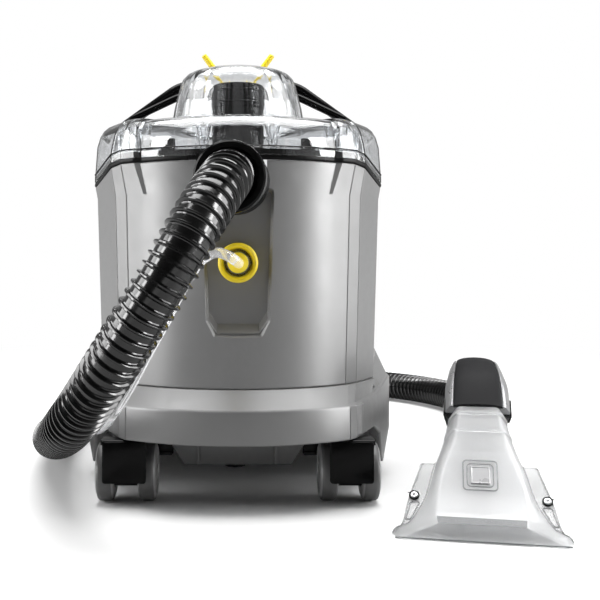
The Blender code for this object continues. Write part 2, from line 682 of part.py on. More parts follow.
# Hand tool, in its own frame: u across, v from the lip to the back, w up.

# Half-widths of the front shell and of its front panel, its front line (v, w), its back line (v, w), and the
# back plate's half-width.
NOZZLE_STATIONS = (
    (71.6, 70.0, (0.0, 0.0), (14.0, 0.0), 71.6),
    (69.2, 51.0, (1.6, 8.0), (17.0, 4.0), 68.6),
    (58.0, 37.0, (3.0, 14.0), (21.0, 8.0), 65.6),
    (53.5, 38.0, (12.0, 17.5), (26.0, 12.0), 64.2),
    (44.5, 38.5, (31.0, 35.0), (44.0, 24.0), 61.0),
    (38.2, 31.2, (51.0, 57.0), (65.0, 43.0), 53.0),
    (35.7, 28.7, (56.8, 63.2), (71.9, 48.6), 50.0),
    (35.0, 28.0, (58.4, 64.9), (73.8, 50.2), 36.8),
    (30.2, 23.2, (69.5, 77.0), (87.0, 61.0), 32.0),
    (24.2, 18.0, (90.0, 98.8), (110.0, 80.3), 25.5),
)

# Centre line of the handle (v, w), its slope in degrees, half-width, half-height and the grip's half-width.
HANDLE_STATIONS = (
    ((100.6, 90.2), 46.4, 29.0, 16.0, 22.0),
    ((121.0, 107.5), 40.0, 29.0, 17.5, 21.0),
    ((140.0, 115.5), 22.0, 26.8, 18.0, 19.0),
    ((163.0, 118.5), 0.0, 25.0, 18.0, 17.5),
    ((190.0, 114.0), -18.0, 23.5, 17.0, 17.0),
    ((215.0, 103.5), -28.0, 23.0, 16.5, 16.5),
    ((238.0, 89.5), -32.5, 24.0, 17.5, 16.5),
    ((254.0, 79.0), -33.5, 25.5, 20.0, 16.5),
)
CUFF_SLOPE, CUFF_LENGTH = -33.5, 42.0


def tool_vector(v, w):
    return Vector((0, v, w))


def make_nozzle(frame):
    skin = 2.2
    shell, plate = [], []
    for half, panel, front, back, wing in NOZZLE_STATIONS:
        f, b = tool_vector(*front), tool_vector(*back)
        inward = (b - f).normalized()
        side = b.lerp(f, 0.45)
        inner_f, inner_side, inner_panel = f + inward * skin, side + inward * skin * 0.4, panel - skin * 0.5
        shell.append([(-half, *b.yz), (-half, *side.yz), (-panel, *f.yz), (panel, *f.yz), (half, *side.yz),
                      (half, *b.yz), (half - skin, *b.yz), (half - skin, *inner_side.yz),
                      (inner_panel, *inner_f.yz), (-inner_panel, *inner_f.yz), (-half + skin, *inner_side.yz),
                      (-half + skin, *b.yz)])
        near, far = b + inward * GAP, b + inward * (GAP + 2.6)
        plate.append([(-wing, *near.yz), (wing, *near.yz), (wing, *far.yz), (-wing, *far.yz)])
    loft("nozzle_front", shell, CLEAR, parent=frame)
    back_plate = loft("nozzle_back", plate, CLEAR, parent=frame)
    for side, name in ((-1, "nozzle_screw_left"), (1, "nozzle_screw_right")):
        place = {"at": (side * 56.0, 45.5, 25.4), "turn": (42.1, 0, 0), "parent": frame}
        cut(back_plate, turned("screw_hole", [(2.4, -9), (2.4, 9)], None, 12, **place))
        turned(name, [(2.0, -6), (2.0, 0.4), (4.2, 0.6), (4.2, 3.0)], STEEL, 12, **place)


def handle_rings(section):
    """Rings across the handle's centre line; section gives each station's points (across, up)."""
    rings = []
    for centre, slope, half, height, grip in HANDLE_STATIONS:
        up = tool_vector(-math.sin(math.radians(slope)), math.cos(math.radians(slope)))
        middle = tool_vector(*centre)
        rings.append([tuple(middle + Vector((a, 0, 0)) + up * b) for a, b in section(half, height, grip)])
    return rings


def both_sides(half):
    """A section's points from its right half, listed from below upwards."""
    return half + [(-a, b) for a, b in reversed(half)]


def handle_section(half, height, grip):
    return both_sides([(half * 0.62, -height), (half * 0.92, -height * 0.72), (half, -height * 0.2),
                       (half, height * 0.3), (grip + 2.2, height * 0.88), (grip + 0.4, height - 1.2),
                       (grip + 0.4, height - 4.4)])


def grip_section(half, height, grip):
    return both_sides([(grip, height - 4.0), (grip, height - 1.2), (grip * 0.7, height - 0.2),
                       (grip * 0.3, height + 0.3)])


def make_tool_handle(frame):
    handle = loft("tool_handle", handle_rings(handle_section), SILVER, parent=frame)
    loft("grip_insert", handle_rings(grip_section), GREY_DARK, parent=frame)
    for side in (-1, 1):
        low, high = sorted((side * 13, side * 18))
        join(handle, block("trigger_lug", (low, 144, 84), (high, 160, 102), None, parent=frame),
             solver="MANIFOLD")
    cut(handle, turned("lug_bore", [(2.9, -30), (2.9, 30)], None, 12,
                       at=(0, *TRIGGER_PIVOT), turn=(0, 90, 0), parent=frame), solver="MANIFOLD")
    cut(handle, turned("valve_pocket", [(5.6, 80), (5.6, 112)], None, 16, at=(0, VALVE_V, 0), parent=frame),
        solver="MANIFOLD")
    turned("trigger_pin", [(2.5, -17.6), (2.5, 17.6)], STEEL, 12, at=(0, *TRIGGER_PIVOT), turn=(0, 90, 0),
           parent=frame)
    turned("valve_body", [(2.7, 99.5), (5.2, 99.5), (5.2, 111.6), (4, 111.7), (4, 109), (2.7, 109)], BRASS, 16,
           closed=True, at=(0, VALVE_V, 0), parent=frame)
    turned("valve_stem", [(2.3, 0.4), (2.3, 17)], STEEL, 12, at=(0, VALVE_V, 85.0), parent=frame)
    make_trigger(frame)
    slope = math.radians(CUFF_SLOPE)
    at = Vector((0, *HANDLE_STATIONS[-1][0])) + tool_vector(math.cos(slope), math.sin(slope)) * 0.4
    turned("tool_cuff", [(27.5, 0), (27.5, 6), (26, 7), (26, CUFF_LENGTH - 5), (28, CUFF_LENGTH - 4),
                         (28, CUFF_LENGTH)], BLACK, 20, at=at, turn=(-90 + CUFF_SLOPE, 0, 0), parent=frame)
    turned("spray_jet", [(3.5, 0), (6, 4), (6, 16), (4.5, 17)], BLACK, 12, at=(0, 124, 63.5),
           turn=(8, 0, 0), parent=frame)


def make_trigger(frame):
    """The lever under the handle, about its pin."""
    profile = [(-8, -6), (0, -9), (14, -13), (40, -22), (62, -31), (68, -29), (66, -24), (40, -9), (26, -5.2),
               (20, -5), (8, 5.5), (0, 8), (-7, 6)]
    rings = [[(u, v, w) for v, w in profile] for u in (-12.5, 12.5)]
    lever = loft("trigger_lever", rings, BLACK, at=(0, *TRIGGER_PIVOT), parent=frame)
    cut(lever, turned("trigger_bore", [(2.9, -30), (2.9, 30)], None, 12, at=(0, *TRIGGER_PIVOT),
                      turn=(0, 90, 0), parent=frame))


# Cords. Their routes are chosen by hand, in the machine's frame.

HOSE_ROUTE = (
    (-9.5, -85, 298.5), (-17, -107, 285.5), (-29, -125, 265), (-42, -135, 241), (-57, -138, 214),
    (-75, -134, 186), (-93, -124, 158), (-109, -109, 135), (-125, -87, 113), (-141, -54, 94), (-157, -4, 78),
    (-175, 66, 62), (-194, 145, 47), (-209, 225, 35), (-218, 310, 27), (-221, 395, 24.2), (-217, 480, 24),
    (-205, 570, 24), (-182, 660, 24), (-139, 742, 24), (-72, 802, 24), (10, 832, 24), (96, 834, 24),
    (178, 812, 24), (248, 766, 24), (302, 702, 24), (333, 626, 24), (341, 550, 24), (336, 476, 24),
    (324, 412, 24), (307, 350, 24.4), (289, 293, 29),
)
TUBE_ROUTE = (
    (-7, -15, 235), (-18, -20, 239), (-30, -25, 234), (-41, -36, 220), (-51, -51, 201), (-62, -66, 178),
    (-76, -74, 152), (-90, -71, 126), (-105, -62, 103), (-119, -28, 87), (-132, 17, 78), (-147, 74, 71),
    (-161, 131, 60), (-176, 198, 41), (-186, 274, 24), (-195, 352, 11), (-197, 431, 5.8), (-191, 509, 5.4),
    (-179, 586, 5.4), (-158, 659, 5.8), (-127, 714, 7), (-95, 744, 15), (-62, 768, 32), (-36, 797, 49),
    (-9, 831, 54), (30, 856, 45), (73, 866, 27), (121, 856, 11), (183, 835, 6), (252, 793, 5.4), (311, 730, 5.4),
    (349, 653, 5.4), (364, 568, 5.4), (360, 485, 5.4), (347, 408, 5.6), (329, 338, 7), (314, 282, 15),
)


def tool_to_machine(point):
    turn = Matrix.Rotation(-math.radians(TOOL_YAW), 3, "Z")
    return Vector((TOOL_X, TOOL_Y, 0)) + turn @ Vector(point)


def make_cords(hose_start, hose_direction):
    """The suction hose and the solution tube, each from its fitting to the hand tool's cuff."""
    slope = math.radians(CUFF_SLOPE)
    back = tool_vector(math.cos(slope), math.sin(slope))
    cuff_end = Vector((0, *HANDLE_STATIONS[-1][0])) + back * (CUFF_LENGTH + 0.4 + CORD_GAP)
    start = hose_start + hose_direction * CORD_GAP
    route = [start, start + hose_direction * 10, *HOSE_ROUTE]
    route += [tool_to_machine(cuff_end + back * 12), tool_to_machine(cuff_end)]
    cord("suction_hose", route, HOSE_R, 48.0, HOSE, 3)
    plug_face = Vector((0, RECESS_Y - GAP - 35.5 - CORD_GAP, COUPLING_Z))
    side = cuff_end + Vector((HOSE_R + 10, 0, 0))
    route = [plug_face, plug_face + Vector((0, -8, 0)), *TUBE_ROUTE]
    route += [tool_to_machine(side + back * 16), tool_to_machine(side + back * 2)]
    cord("solution_tube", route, TUBE_R, 32.0, CLEAR, 2)


def clear_scene():
    for obj in list(bpy.data.objects):
        bpy.data.objects.remove(obj)


def frame_empty(name, at=(0, 0, 0), yaw=0.0, parent=None):
    empty = bpy.data.objects.new(name, None)
    bpy.context.scene.collection.objects.link(empty)
    empty.location = Vector(at) * MM
    empty.rotation_euler = (0, 0, math.radians(yaw))
    empty.parent = parent
    return empty


clear_scene()
MACHINE_FRAME = frame_empty("machine_frame", (FRAME_X, FRAME_Y, 0))
GREY = material("casing grey", (0.29, 0.30, 0.31), 0.5)
GREY_DARK = material("dark grey", (0.06, 0.06, 0.065), 0.5)
BLACK = material("black plastic", (0.012, 0.012, 0.013), 0.35)
RUBBER = material("black rubber", (0.01, 0.01, 0.01), 0.6)
CLEAR = material("clear plastic", (0.9, 0.93, 0.94), 0.06, alpha=0.3)
YELLOW = material("yellow plastic", (0.85, 0.66, 0.02), 0.4)
WHITE = material("white plastic", (0.8, 0.8, 0.78), 0.45)
SILVER = material("silver plastic", (0.5, 0.51, 0.52), 0.35)
STEEL = material("steel", (0.6, 0.6, 0.6), 0.3, 1.0)
BRASS = material("brass", (0.7, 0.5, 0.2), 0.3, 1.0)
TYRE = material("grey tyre", (0.35, 0.35, 0.35), 0.6)
HOSE = material("hose black", (0.01, 0.01, 0.01), 0.25)

make_tank_housing()
cuff_face, cuff_direction = make_suction_port()
make_coupling()
make_fresh_water_filter()
make_base_housing()
make_underside()
make_pump()
make_dirty_water_tank()
make_riser_duct()
make_float()
make_lid()
make_dome()
make_bails()
make_cord_hook()
make_rear_housing()
make_turbine()
make_casters()
make_rear_wheels()
TOOL_FRAME = frame_empty("tool_frame", (TOOL_X, TOOL_Y, 0), -TOOL_YAW, MACHINE_FRAME)
make_nozzle(TOOL_FRAME)
make_tool_handle(TOOL_FRAME)
make_cords(cuff_face, cuff_direction)
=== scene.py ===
"""Looks of the compact spray-extraction carpet cleaner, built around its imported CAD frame.

Sizes are millimetres in the machine's own frame: X runs across, Y from the front to the back and Z up,
with the origin on the floor under the foremost point of the base. The hand tool has a frame of its own,
with its origin on the floor under the middle of its lip. Both frames are found from the CAD nodes, and MM
turns the sizes into metres.
"""
import json
import math

import bmesh
import bpy
from mathutils import Matrix, Vector


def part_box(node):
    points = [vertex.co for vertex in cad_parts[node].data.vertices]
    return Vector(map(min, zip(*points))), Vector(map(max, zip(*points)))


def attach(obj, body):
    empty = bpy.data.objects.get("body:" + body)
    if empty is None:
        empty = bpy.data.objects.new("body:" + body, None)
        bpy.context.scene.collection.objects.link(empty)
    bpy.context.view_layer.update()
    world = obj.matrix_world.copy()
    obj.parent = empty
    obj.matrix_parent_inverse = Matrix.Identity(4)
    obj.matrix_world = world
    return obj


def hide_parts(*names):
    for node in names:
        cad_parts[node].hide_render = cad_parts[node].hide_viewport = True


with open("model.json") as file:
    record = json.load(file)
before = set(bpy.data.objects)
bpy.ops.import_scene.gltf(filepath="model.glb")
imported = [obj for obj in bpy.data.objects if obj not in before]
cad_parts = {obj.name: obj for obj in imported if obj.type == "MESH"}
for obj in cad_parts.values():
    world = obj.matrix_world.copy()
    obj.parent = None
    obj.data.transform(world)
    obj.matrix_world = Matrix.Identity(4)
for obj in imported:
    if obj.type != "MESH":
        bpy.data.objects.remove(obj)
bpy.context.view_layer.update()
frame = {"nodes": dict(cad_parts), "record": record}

MM = 0.001
GAP = 0.3

# Driving sizes, which the CAD part shares.
TANK_FRONT_Y, TANK_ARC_R, TANK_BACK_Y, TANK_CORNER_R = 20.0, 165.0, 300.0, 34.0
TANK_SIDE_X, TANK_FLOOR_Z, TANK_FOOT_SCALE = 143.4, 113.3, 0.957
RIM_FRONT_Z, RIM_SIDE_Z = 325.0, 304.0
BASE_ARC_R, BASE_CREASE_X, LENGTH, HALF_WIDTH = 184.0, 105.0, 530.0, 165.0
BASE_FRONT_Z, SKIRT_Z, LEDGE_Z, DECK_Z = 64.6, 13.5, 97.0, 113.0
FENDER_Z, FENDER_X = 143.0, 150.0
PORT_Z, PORT_R, PORT_LEAN = 303.0, 25.0, 7.0
PORT_BORE, PORT_SLOT_R, PORT_ARCH_R = 21.0, 26.8, 29.6
RECESS_TOP, RECESS_FOOT, RECESS_Y = 296.5, 165.0, 36.0
COUPLING_Z = 230.0
DOME_Y, ROOF_Z = 150.0, 371.0
RISER_Y, RISER_BEND = 128.0, 28.0
DOME_STEPS, FLUTE_DEPTH = 216, 0.45
CARRY_Y, CARRY_PIVOT_X, CARRY_PIVOT_Z, CARRY_RISE = 312.0, 146.0, 350.0, 97.0
LID_BAIL_Y, LID_BAIL_X, LID_BAIL_Z = 270.0, 129.0, 384.0
CASTER_X, CASTER_STEM_Y, CASTER_TRAIL, CASTER_R = 107.0, 54.0, 16.0, 28.5
CASTER_WHEEL_IN, CASTER_WHEEL_OUT = 11.6, 29.0
REAR_AXLE_Y, REAR_R, REAR_WHEEL_X, REAR_WHEEL_W = 400.0, 48.0, 146.0, 24.0
TOOL_YAW = 12.0
TRIGGER_PIVOT = (152.0, 90.0)
HOSE_R, TUBE_R, CORD_GAP = 23.5, 4.75, 0.5
TUBE_OFFSET = 10.0
CUFF_SLOPE, CUFF_LENGTH = -33.5, 42.0

base_low, base_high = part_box("base_housing")
MACHINE = Matrix.Translation(((base_low.x + base_high.x) / 2, base_low.y, 0))
pin_low, pin_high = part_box("trigger_pin")
TOOL_TURN = Matrix.Rotation(-math.radians(TOOL_YAW), 4, "Z")
pin_from_lip = TOOL_TURN @ Vector((0, TRIGGER_PIVOT[0] * MM, 0))
TOOL = Matrix.Translation(((pin_low.x + pin_high.x) / 2 - pin_from_lip.x,
                           (pin_low.y + pin_high.y) / 2 - pin_from_lip.y, 0)) @ TOOL_TURN


# Camera.

def add_object(name, data):
    made = bpy.data.objects.new(name, data)
    bpy.context.scene.collection.objects.link(made)
    return made


def make_camera():
    """Level view from the front, with its axis on the machine's middle plane."""
    data = bpy.data.cameras.new("camera")
    data.sensor_width = 36.0
    data.lens = 56.8
    data.shift_x, data.shift_y = 0.1033, -0.0583
    data.clip_start, data.clip_end = 0.02, 50.0
    camera = add_object("camera", data)
    camera.location = MACHINE @ Vector((0, -850 * MM, 228 * MM))
    camera.rotation_euler = (math.radians(90), 0, 0)
    bpy.context.scene.camera = camera


# Outlines and rings.

def arc(centre, radius, start, end, steps):
    """Points on an arc in the plane, from start to end in degrees."""
    angles = [math.radians(start + (end - start) * i / steps) for i in range(steps + 1)]
    return [Vector((centre[0] + radius * math.cos(a), centre[1] + radius * math.sin(a))) for a in angles]


def mirrored(half):
    """A closed counter-clockwise outline from its right half, listed from front to back."""
    return half + [Vector((-p.x, p.y)) for p in reversed(half) if p.x > GAP]


def notched(points, corners, depth):
    """The points with a V groove at the given corners; depth 0 gives the same count of points, flat."""
    made = []
    for i, here in enumerate(points):
        if i not in corners:
            made.append(here)
            continue
        before, after = (points[i - 1] - here).normalized(), (points[i + 1] - here).normalized()
        along = (after - before).normalized()
        made += [here + before * 0.8, here + Vector((-along.y, along.x)) * depth, here + after * 0.8]
    return made


def inset(outline, distance):
    """The outline moved inwards by distance, with mitred corners."""
    moved = []
    for i, here in enumerate(outline):
        first = (here - outline[i - 1]).normalized()
        second = (outline[(i + 1) % len(outline)] - here).normalized()
        normal = Vector((-first.y, first.x))
        mitre = (normal + Vector((-second.y, second.x))).normalized()
        moved.append(here + mitre * (distance / mitre.dot(normal)))
    return moved


def oval(x, y, width, height, degrees):
    """Points on an ellipse round (x, y), at the given degrees."""
    angles = [math.radians(d) for d in degrees]
    return [(x + width * math.cos(a), y + height * math.sin(a)) for a in angles]


def level(outline, z):
    """The outline as a ring in space; z is a height, or a function of the point."""
    return [(p.x, p.y, z(p) if callable(z) else z) for p in outline]


def ramp(value, low, high):
    """0 below low, 1 above high and a smooth step between."""
    t = min(max((value - low) / (high - low), 0.0), 1.0)
    return t * t * (3 - 2 * t)


def rectangle(x0, y0, x1, y1):
    return [Vector((x0, y0)), Vector((x1, y0)), Vector((x1, y1)), Vector((x0, y1))]


def rounded(x0, y0, x1, y1, r, steps=5):
    """A rectangle with round corners."""
    corners = (((x1 - r, y0 + r), -90), ((x1 - r, y1 - r), 0), ((x0 + r, y1 - r), 90),
               ((x0 + r, y0 + r), 180))
    return [p for centre, start in corners for p in arc(centre, r, start, start + 90, steps)]


def rounded_path(corners, r, steps=3):
    """The open path through corners with each inner corner rounded."""
    points = [Vector(corners[0])]
    for a, b, c in zip(corners, corners[1:], corners[2:]):
        a, b, c = Vector(a), Vector(b), Vector(c)
        reach = min(r, (b - a).length * 0.45, (c - b).length * 0.45)
        p, q = b + (a - b).normalized() * reach, b + (c - b).normalized() * reach
        points += [p.lerp(b, k / steps).lerp(b.lerp(q, k / steps), k / steps) for k in range(steps + 1)]
    return [tuple(p) for p in points + [Vector(corners[-1])]]


def both_sides(half):
    """The closed outline of which half is the right side."""
    return half + [(-a, b) for a, b in reversed(half)]


def upright(outline, y):
    """The outline as a ring in a plane across the machine's length."""
    return [(p.x, y, p.y) for p in outline]


# Meshes.

def place(x=0.0, y=0.0, z=0.0, rx=0.0, ry=0.0, rz=0.0):
    """A placement in millimetres and degrees."""
    turn = Matrix.Rotation(math.radians(rz), 4, "Z") @ Matrix.Rotation(math.radians(ry), 4, "Y")
    return Matrix.Translation((x, y, z)) @ turn @ Matrix.Rotation(math.radians(rx), 4, "X")


def piece(name, points, faces, finish, at=Matrix(), space=None, sharp=32.0, bevel=0.0, segments=3):
    """One object in world metres from points in millimetres, with its faces turned outwards."""
    to_world = (space or MACHINE) @ Matrix.Scale(MM, 4) @ at
    mesh = bpy.data.meshes.new(name)
    mesh.from_pydata([to_world @ Vector(p) for p in points], [], faces)
    work = bmesh.new()
    work.from_mesh(mesh)
    bmesh.ops.recalc_face_normals(work, faces=work.faces)
    work.to_mesh(mesh)
    work.free()
    mesh.shade_smooth()
    mesh.set_sharp_from_angle(angle=math.radians(sharp))
    obj = add_object(name, mesh)
    if finish:
        mesh.materials.append(finish)
    obj["bevel"] = bevel
    obj["segments"] = segments
    obj["sharp"] = sharp
    return obj


def loft(name, rings, finish, closed=False, **looks):
    """A solid through rings of equal length, capped at both ends, or closed back on its first ring."""
    count = len(rings[0])
    points = [p for ring in rings for p in ring]
    faces = []
    for i in range(len(rings) if closed else len(rings) - 1):
        a, b = i * count, (i + 1) % len(rings) * count
        faces += [(a + k, a + (k + 1) % count, b + (k + 1) % count, b + k) for k in range(count)]
    if not closed:
        faces += [tuple(range(count)), tuple(len(points) - count + k for k in range(count))]
    return piece(name, points, faces, finish, **looks)


def turned(name, profile, finish, steps=48, closed=False, **looks):
    """A profile of (radius, height) turned about Z."""
    circle = [2 * math.pi * k / steps for k in range(steps)]
    rings = [[(r * math.cos(a), r * math.sin(a), z) for a in circle] for r, z in profile]
    return loft(name, rings, finish, closed, **looks)


def prism(name, outline, low, high, finish, **looks):
    """An outline in XY extruded along Z."""
    return loft(name, [level(outline, low), level(outline, high)], finish, **looks)


def slab(name, outline, low, high, finish, **looks):
    """An outline in YZ extruded along X."""
    return loft(name, [[(x, y, z) for y, z in outline] for x in (low, high)], finish, **looks)


def block(name, low, high, finish, **looks):
    return prism(name, rectangle(low[0], low[1], high[0], high[1]), low[2], high[2], finish, **looks)


def swept(name, path, radii, finish, sides=20, bore=None, **looks):
    """A round bar or, with bore, a round tube along path; radii is one radius or one for each point."""
    path = [Vector(p) for p in path]
    radii = radii if isinstance(radii, (list, tuple)) else [radii] * len(path)
    along = [(path[min(i + 1, len(path) - 1)] - path[max(i - 1, 0)]).normalized() for i in range(len(path))]
    across = along[0].orthogonal().normalized()
    frames = []
    for direction in along:
        across = (across - direction * across.dot(direction)).normalized()
        frames.append((across, direction.cross(across)))
    circle = [2 * math.pi * k / sides for k in range(sides)]

    def ring(i, radius):
        u, v = frames[i]
        return [tuple(path[i] + (u * math.cos(a) + v * math.sin(a)) * radius) for a in circle]

    rings = [ring(i, radii[i]) for i in range(len(path))]
    if bore:
        rings += [ring(i, bore) for i in reversed(range(len(path)))]
    return loft(name, rings, finish, closed=bool(bore), **looks)


def combine(target, tools, operation):
    """Joins tools to target or cuts them away, and removes the tools once that is done."""
    for tool in tools:
        step = target.modifiers.new(tool.name, "BOOLEAN")
        step.operation = operation
        step.solver = "EXACT"
        step.object = tool
    settle(target)
    for tool in tools:
        bpy.data.objects.remove(tool)


def cut(target, *tools):
    combine(target, tools, "DIFFERENCE")


def join(target, *tools):
    combine(target, tools, "UNION")


def settle(obj):
    """Applies the object's modifiers to its mesh."""
    graph = bpy.context.evaluated_depsgraph_get()
    graph.update()
    made = bpy.data.meshes.new_from_object(obj.evaluated_get(graph), depsgraph=graph)
    obj.modifiers.clear()
    obj.data = made


def merge(target, *others):
    """Puts separate shells into one object, without a Boolean."""
    work = bmesh.new()
    work.from_mesh(target.data)
    for other in others:
        work.from_mesh(other.data)
    work.to_mesh(target.data)
    work.free()
    for other in others:
        bpy.data.objects.remove(other)
    target.data.shade_smooth()
    target.data.set_sharp_from_angle(angle=math.radians(target["sharp"]))


def finished(obj, body, slot, *nodes):
    """Rounds the object's edges, then makes it ride on body and stand for nodes; slot is not used."""
    if obj["bevel"]:
        rounding = obj.modifiers.new("rounded_edges", "BEVEL")
        rounding.width = obj["bevel"] * MM
        rounding.segments = obj["segments"]
        rounding.limit_method = "ANGLE"
        rounding.angle_limit = math.radians(obj["sharp"])
        rounding.use_clamp_overlap = True
        settle(obj)
    obj.data.shade_smooth()
    obj.data.set_sharp_from_angle(angle=math.radians(obj["sharp"]))
    for key in ("bevel", "segments", "sharp"):
        del obj[key]
    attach(obj, body)
    if nodes:
        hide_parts(*nodes)
    return obj


def catmull_rom(a, b, c, d, t):
    """A point of the curve from b to c, for vectors or numbers."""
    return (b + (c - a) * t / 2 + (a - b * 2.5 + c * 2 - d / 2) * t**2
            + (b * 1.5 - a / 2 - c * 1.5 + d / 2) * t**3)


def smooth_route(points, spacing):
    """Points about spacing apart on a Catmull-Rom curve through the given ones."""
    points = [Vector(p) for p in points]
    ends = [points[0] * 2 - points[1], *points, points[-1] * 2 - points[-2]]
    fine = []
    for a, b, c, d in zip(ends, ends[1:], ends[2:], ends[3:]):
        fine += [catmull_rom(a, b, c, d, k / 24) for k in range(24)]
    fine.append(points[-1])
    lengths = [0.0]
    for a, b in zip(fine, fine[1:]):
        lengths.append(lengths[-1] + (b - a).length)
    steps = round(lengths[-1] / spacing)
    route, at = [], 0
    for i in range(steps + 1):
        wanted = lengths[-1] * i / steps
        while at < len(lengths) - 2 and lengths[at + 1] < wanted:
            at += 1
        share = (wanted - lengths[at]) / (lengths[at + 1] - lengths[at])
        route.append(fine[at].lerp(fine[at + 1], share))
    return route


def route_length(route):
    return sum((b - a).length for a, b in zip(route, route[1:]))


# Finishes.

def add_node(tree, kind, inputs=None, **settings):
    made = tree.nodes.new("ShaderNode" + kind)
    for key, value in settings.items():
        setattr(made, key, value)
    for key, value in (inputs or {}).items():
        made.inputs[key].default_value = value
    return made


def noise(tree, scale, detail=3.0, roughness=0.5):
    """Noise in the object's own space; scale is in features a metre."""
    made = add_node(tree, "TexNoise", {"Scale": scale, "Detail": detail, "Roughness": roughness})
    place_by = add_node(tree, "TexCoord")
    tree.links.new(place_by.outputs["Object"], made.inputs["Vector"])
    return made.outputs[0]


def spread(tree, source, low, high):
    """The noise's middle range stretched from low to high."""
    made = add_node(tree, "MapRange", {"From Min": 0.3, "From Max": 0.7, "To Min": low, "To Max": high})
    tree.links.new(source, made.inputs["Value"])
    return made.outputs["Result"]


def two_tones(tree, source, first, second):
    made = add_node(tree, "Mix", data_type="RGBA")
    made.inputs[6].default_value = (*first, 1.0)
    made.inputs[7].default_value = (*second, 1.0)
    tree.links.new(source, made.inputs[0])
    return made.outputs[2]


def mixed_shader(tree, factor, first, second):
    """Mixes two shaders by a socket and returns the mix's output."""
    made = add_node(tree, "MixShader")
    for i, source in enumerate((factor, first, second)):
        tree.links.new(source, made.inputs[i])
    return made.outputs[0]


def new_material(name):
    """A material with its node tree and its Principled shader."""
    made = bpy.data.materials.new(name)
    made.use_nodes = True
    return made, made.node_tree, made.node_tree.nodes["Principled BSDF"]


def finish(name, colour, roughness, mottle=0.06, mottle_scale=14.0, grain=0.2, grain_scale=1500.0,
           grain_depth=0.00008, uneven=0.05, round_edge=0.0, scuff=0.0, **sockets):
    """An opaque finish with faint mottling, uneven gloss and a fine moulded grain."""
    made, tree, shader = new_material(name)
    for key, value in sockets.items():
        shader.inputs[key.replace("_", " ").title().replace("Ior", "IOR")].default_value = value
    dark = [c * (1 - mottle) for c in colour]
    light = [min(c * (1 + mottle), 1.0) for c in colour]
    tone = two_tones(tree, spread(tree, noise(tree, mottle_scale, 5.0), 0.0, 1.0), dark, light)
    if scuff:
        tone = scuffed(tree, tone, [min(c + scuff, 1.0) for c in colour])
    tree.links.new(tone, shader.inputs["Base Color"])
    gloss = spread(tree, noise(tree, 70.0, 6.0, 0.6), roughness - uneven, roughness + uneven)
    tree.links.new(gloss, shader.inputs["Roughness"])
    bump = add_node(tree, "Bump", {"Strength": grain, "Distance": grain_depth})
    tree.links.new(noise(tree, grain_scale, 2.0), bump.inputs["Height"])
    if round_edge:
        bevel = add_node(tree, "Bevel", {"Radius": round_edge * MM}, samples=4)
        tree.links.new(bevel.outputs["Normal"], bump.inputs["Normal"])
    tree.links.new(bump.outputs["Normal"], shader.inputs["Normal"])
    return made


def scuffed(tree, tone, worn):
    """Lighter wear along sharp edges, broken up by noise."""
    geometry = add_node(tree, "NewGeometry")
    edge = add_node(tree, "MapRange", {"From Min": 0.53, "From Max": 0.62})
    tree.links.new(geometry.outputs["Pointiness"], edge.inputs["Value"])
    patches = add_node(tree, "Math", operation="MULTIPLY")
    tree.links.new(edge.outputs["Result"], patches.inputs[0])
    tree.links.new(spread(tree, noise(tree, 160.0, 4.0), 0.1, 0.8), patches.inputs[1])
    made = add_node(tree, "Mix", data_type="RGBA")
    made.inputs[7].default_value = (*worn, 1.0)
    tree.links.new(patches.outputs[0], made.inputs[0])
    tree.links.new(tone, made.inputs[6])
    return made.outputs[2]


def clear_finish(name, tint, roughness, ior=1.47, ripple=0.25, ripple_depth=0.0006, uneven=0.02, clarity=1.0,
                 shade=0.93):
    """Moulded clear plastic: faint ripples, uneven polish, and walls that pass shade of the lamps' light."""
    made, tree, shader = new_material(name)
    shader.inputs["Transmission Weight"].default_value = clarity
    shader.inputs["IOR"].default_value = ior
    second = [c * 0.96 for c in tint]
    tone = two_tones(tree, spread(tree, noise(tree, 20.0), 0.0, 1.0), tint, second)
    tree.links.new(tone, shader.inputs["Base Color"])
    gloss = spread(tree, noise(tree, 90.0, 5.0), max(roughness - uneven, 0.0), roughness + uneven)
    tree.links.new(gloss, shader.inputs["Roughness"])
    bump = add_node(tree, "Bump", {"Strength": ripple, "Distance": ripple_depth})
    tree.links.new(noise(tree, 60.0, 2.0), bump.inputs["Height"])
    tree.links.new(bump.outputs["Normal"], shader.inputs["Normal"])
    through = add_node(tree, "BsdfTransparent", {"Color": (shade, shade, shade, 1.0)})
    path = add_node(tree, "LightPath")
    mixed = mixed_shader(tree, path.outputs["Is Shadow Ray"], shader.outputs[0], through.outputs[0])
    tree.links.new(mixed, tree.nodes["Material Output"].inputs["Surface"])
    return made


GREY = finish("casing_grey_finish", (0.18, 0.18, 0.18), 0.36, mottle=0.03, grain=0.35, grain_scale=1800.0,
              round_edge=1.2, scuff=0.04, specular_ior_level=0.85)
GREY_DARK = finish("dark_grey_finish", (0.014, 0.014, 0.015), 0.55, grain=0.5, round_edge=0.6, scuff=0.01,
                   specular_ior_level=0.08)
BLACK = finish("black_plastic_finish", (0.0025, 0.0025, 0.0026), 0.16, mottle=0.2, grain=0.15, round_edge=0.5,
               scuff=0.01, specular_ior_level=0.12)
RUBBER = finish("black_rubber_finish", (0.0025, 0.0025, 0.0025), 0.3, mottle=0.3, grain=0.5,
                grain_scale=900.0, specular_ior_level=0.1)
YELLOW = finish("yellow_plastic_finish", (0.86, 0.66, 0.01), 0.34, mottle=0.05, grain=0.2, round_edge=0.4,
                coat_weight=0.2)
WHITE = finish("white_plastic_finish", (0.8, 0.8, 0.78), 0.45, grain=0.3)
SILVER = finish("silver_plastic_finish", (0.33, 0.33, 0.335), 0.3, mottle=0.04, grain=0.3, grain_scale=2600.0,
                metallic=0.55, round_edge=0.8)
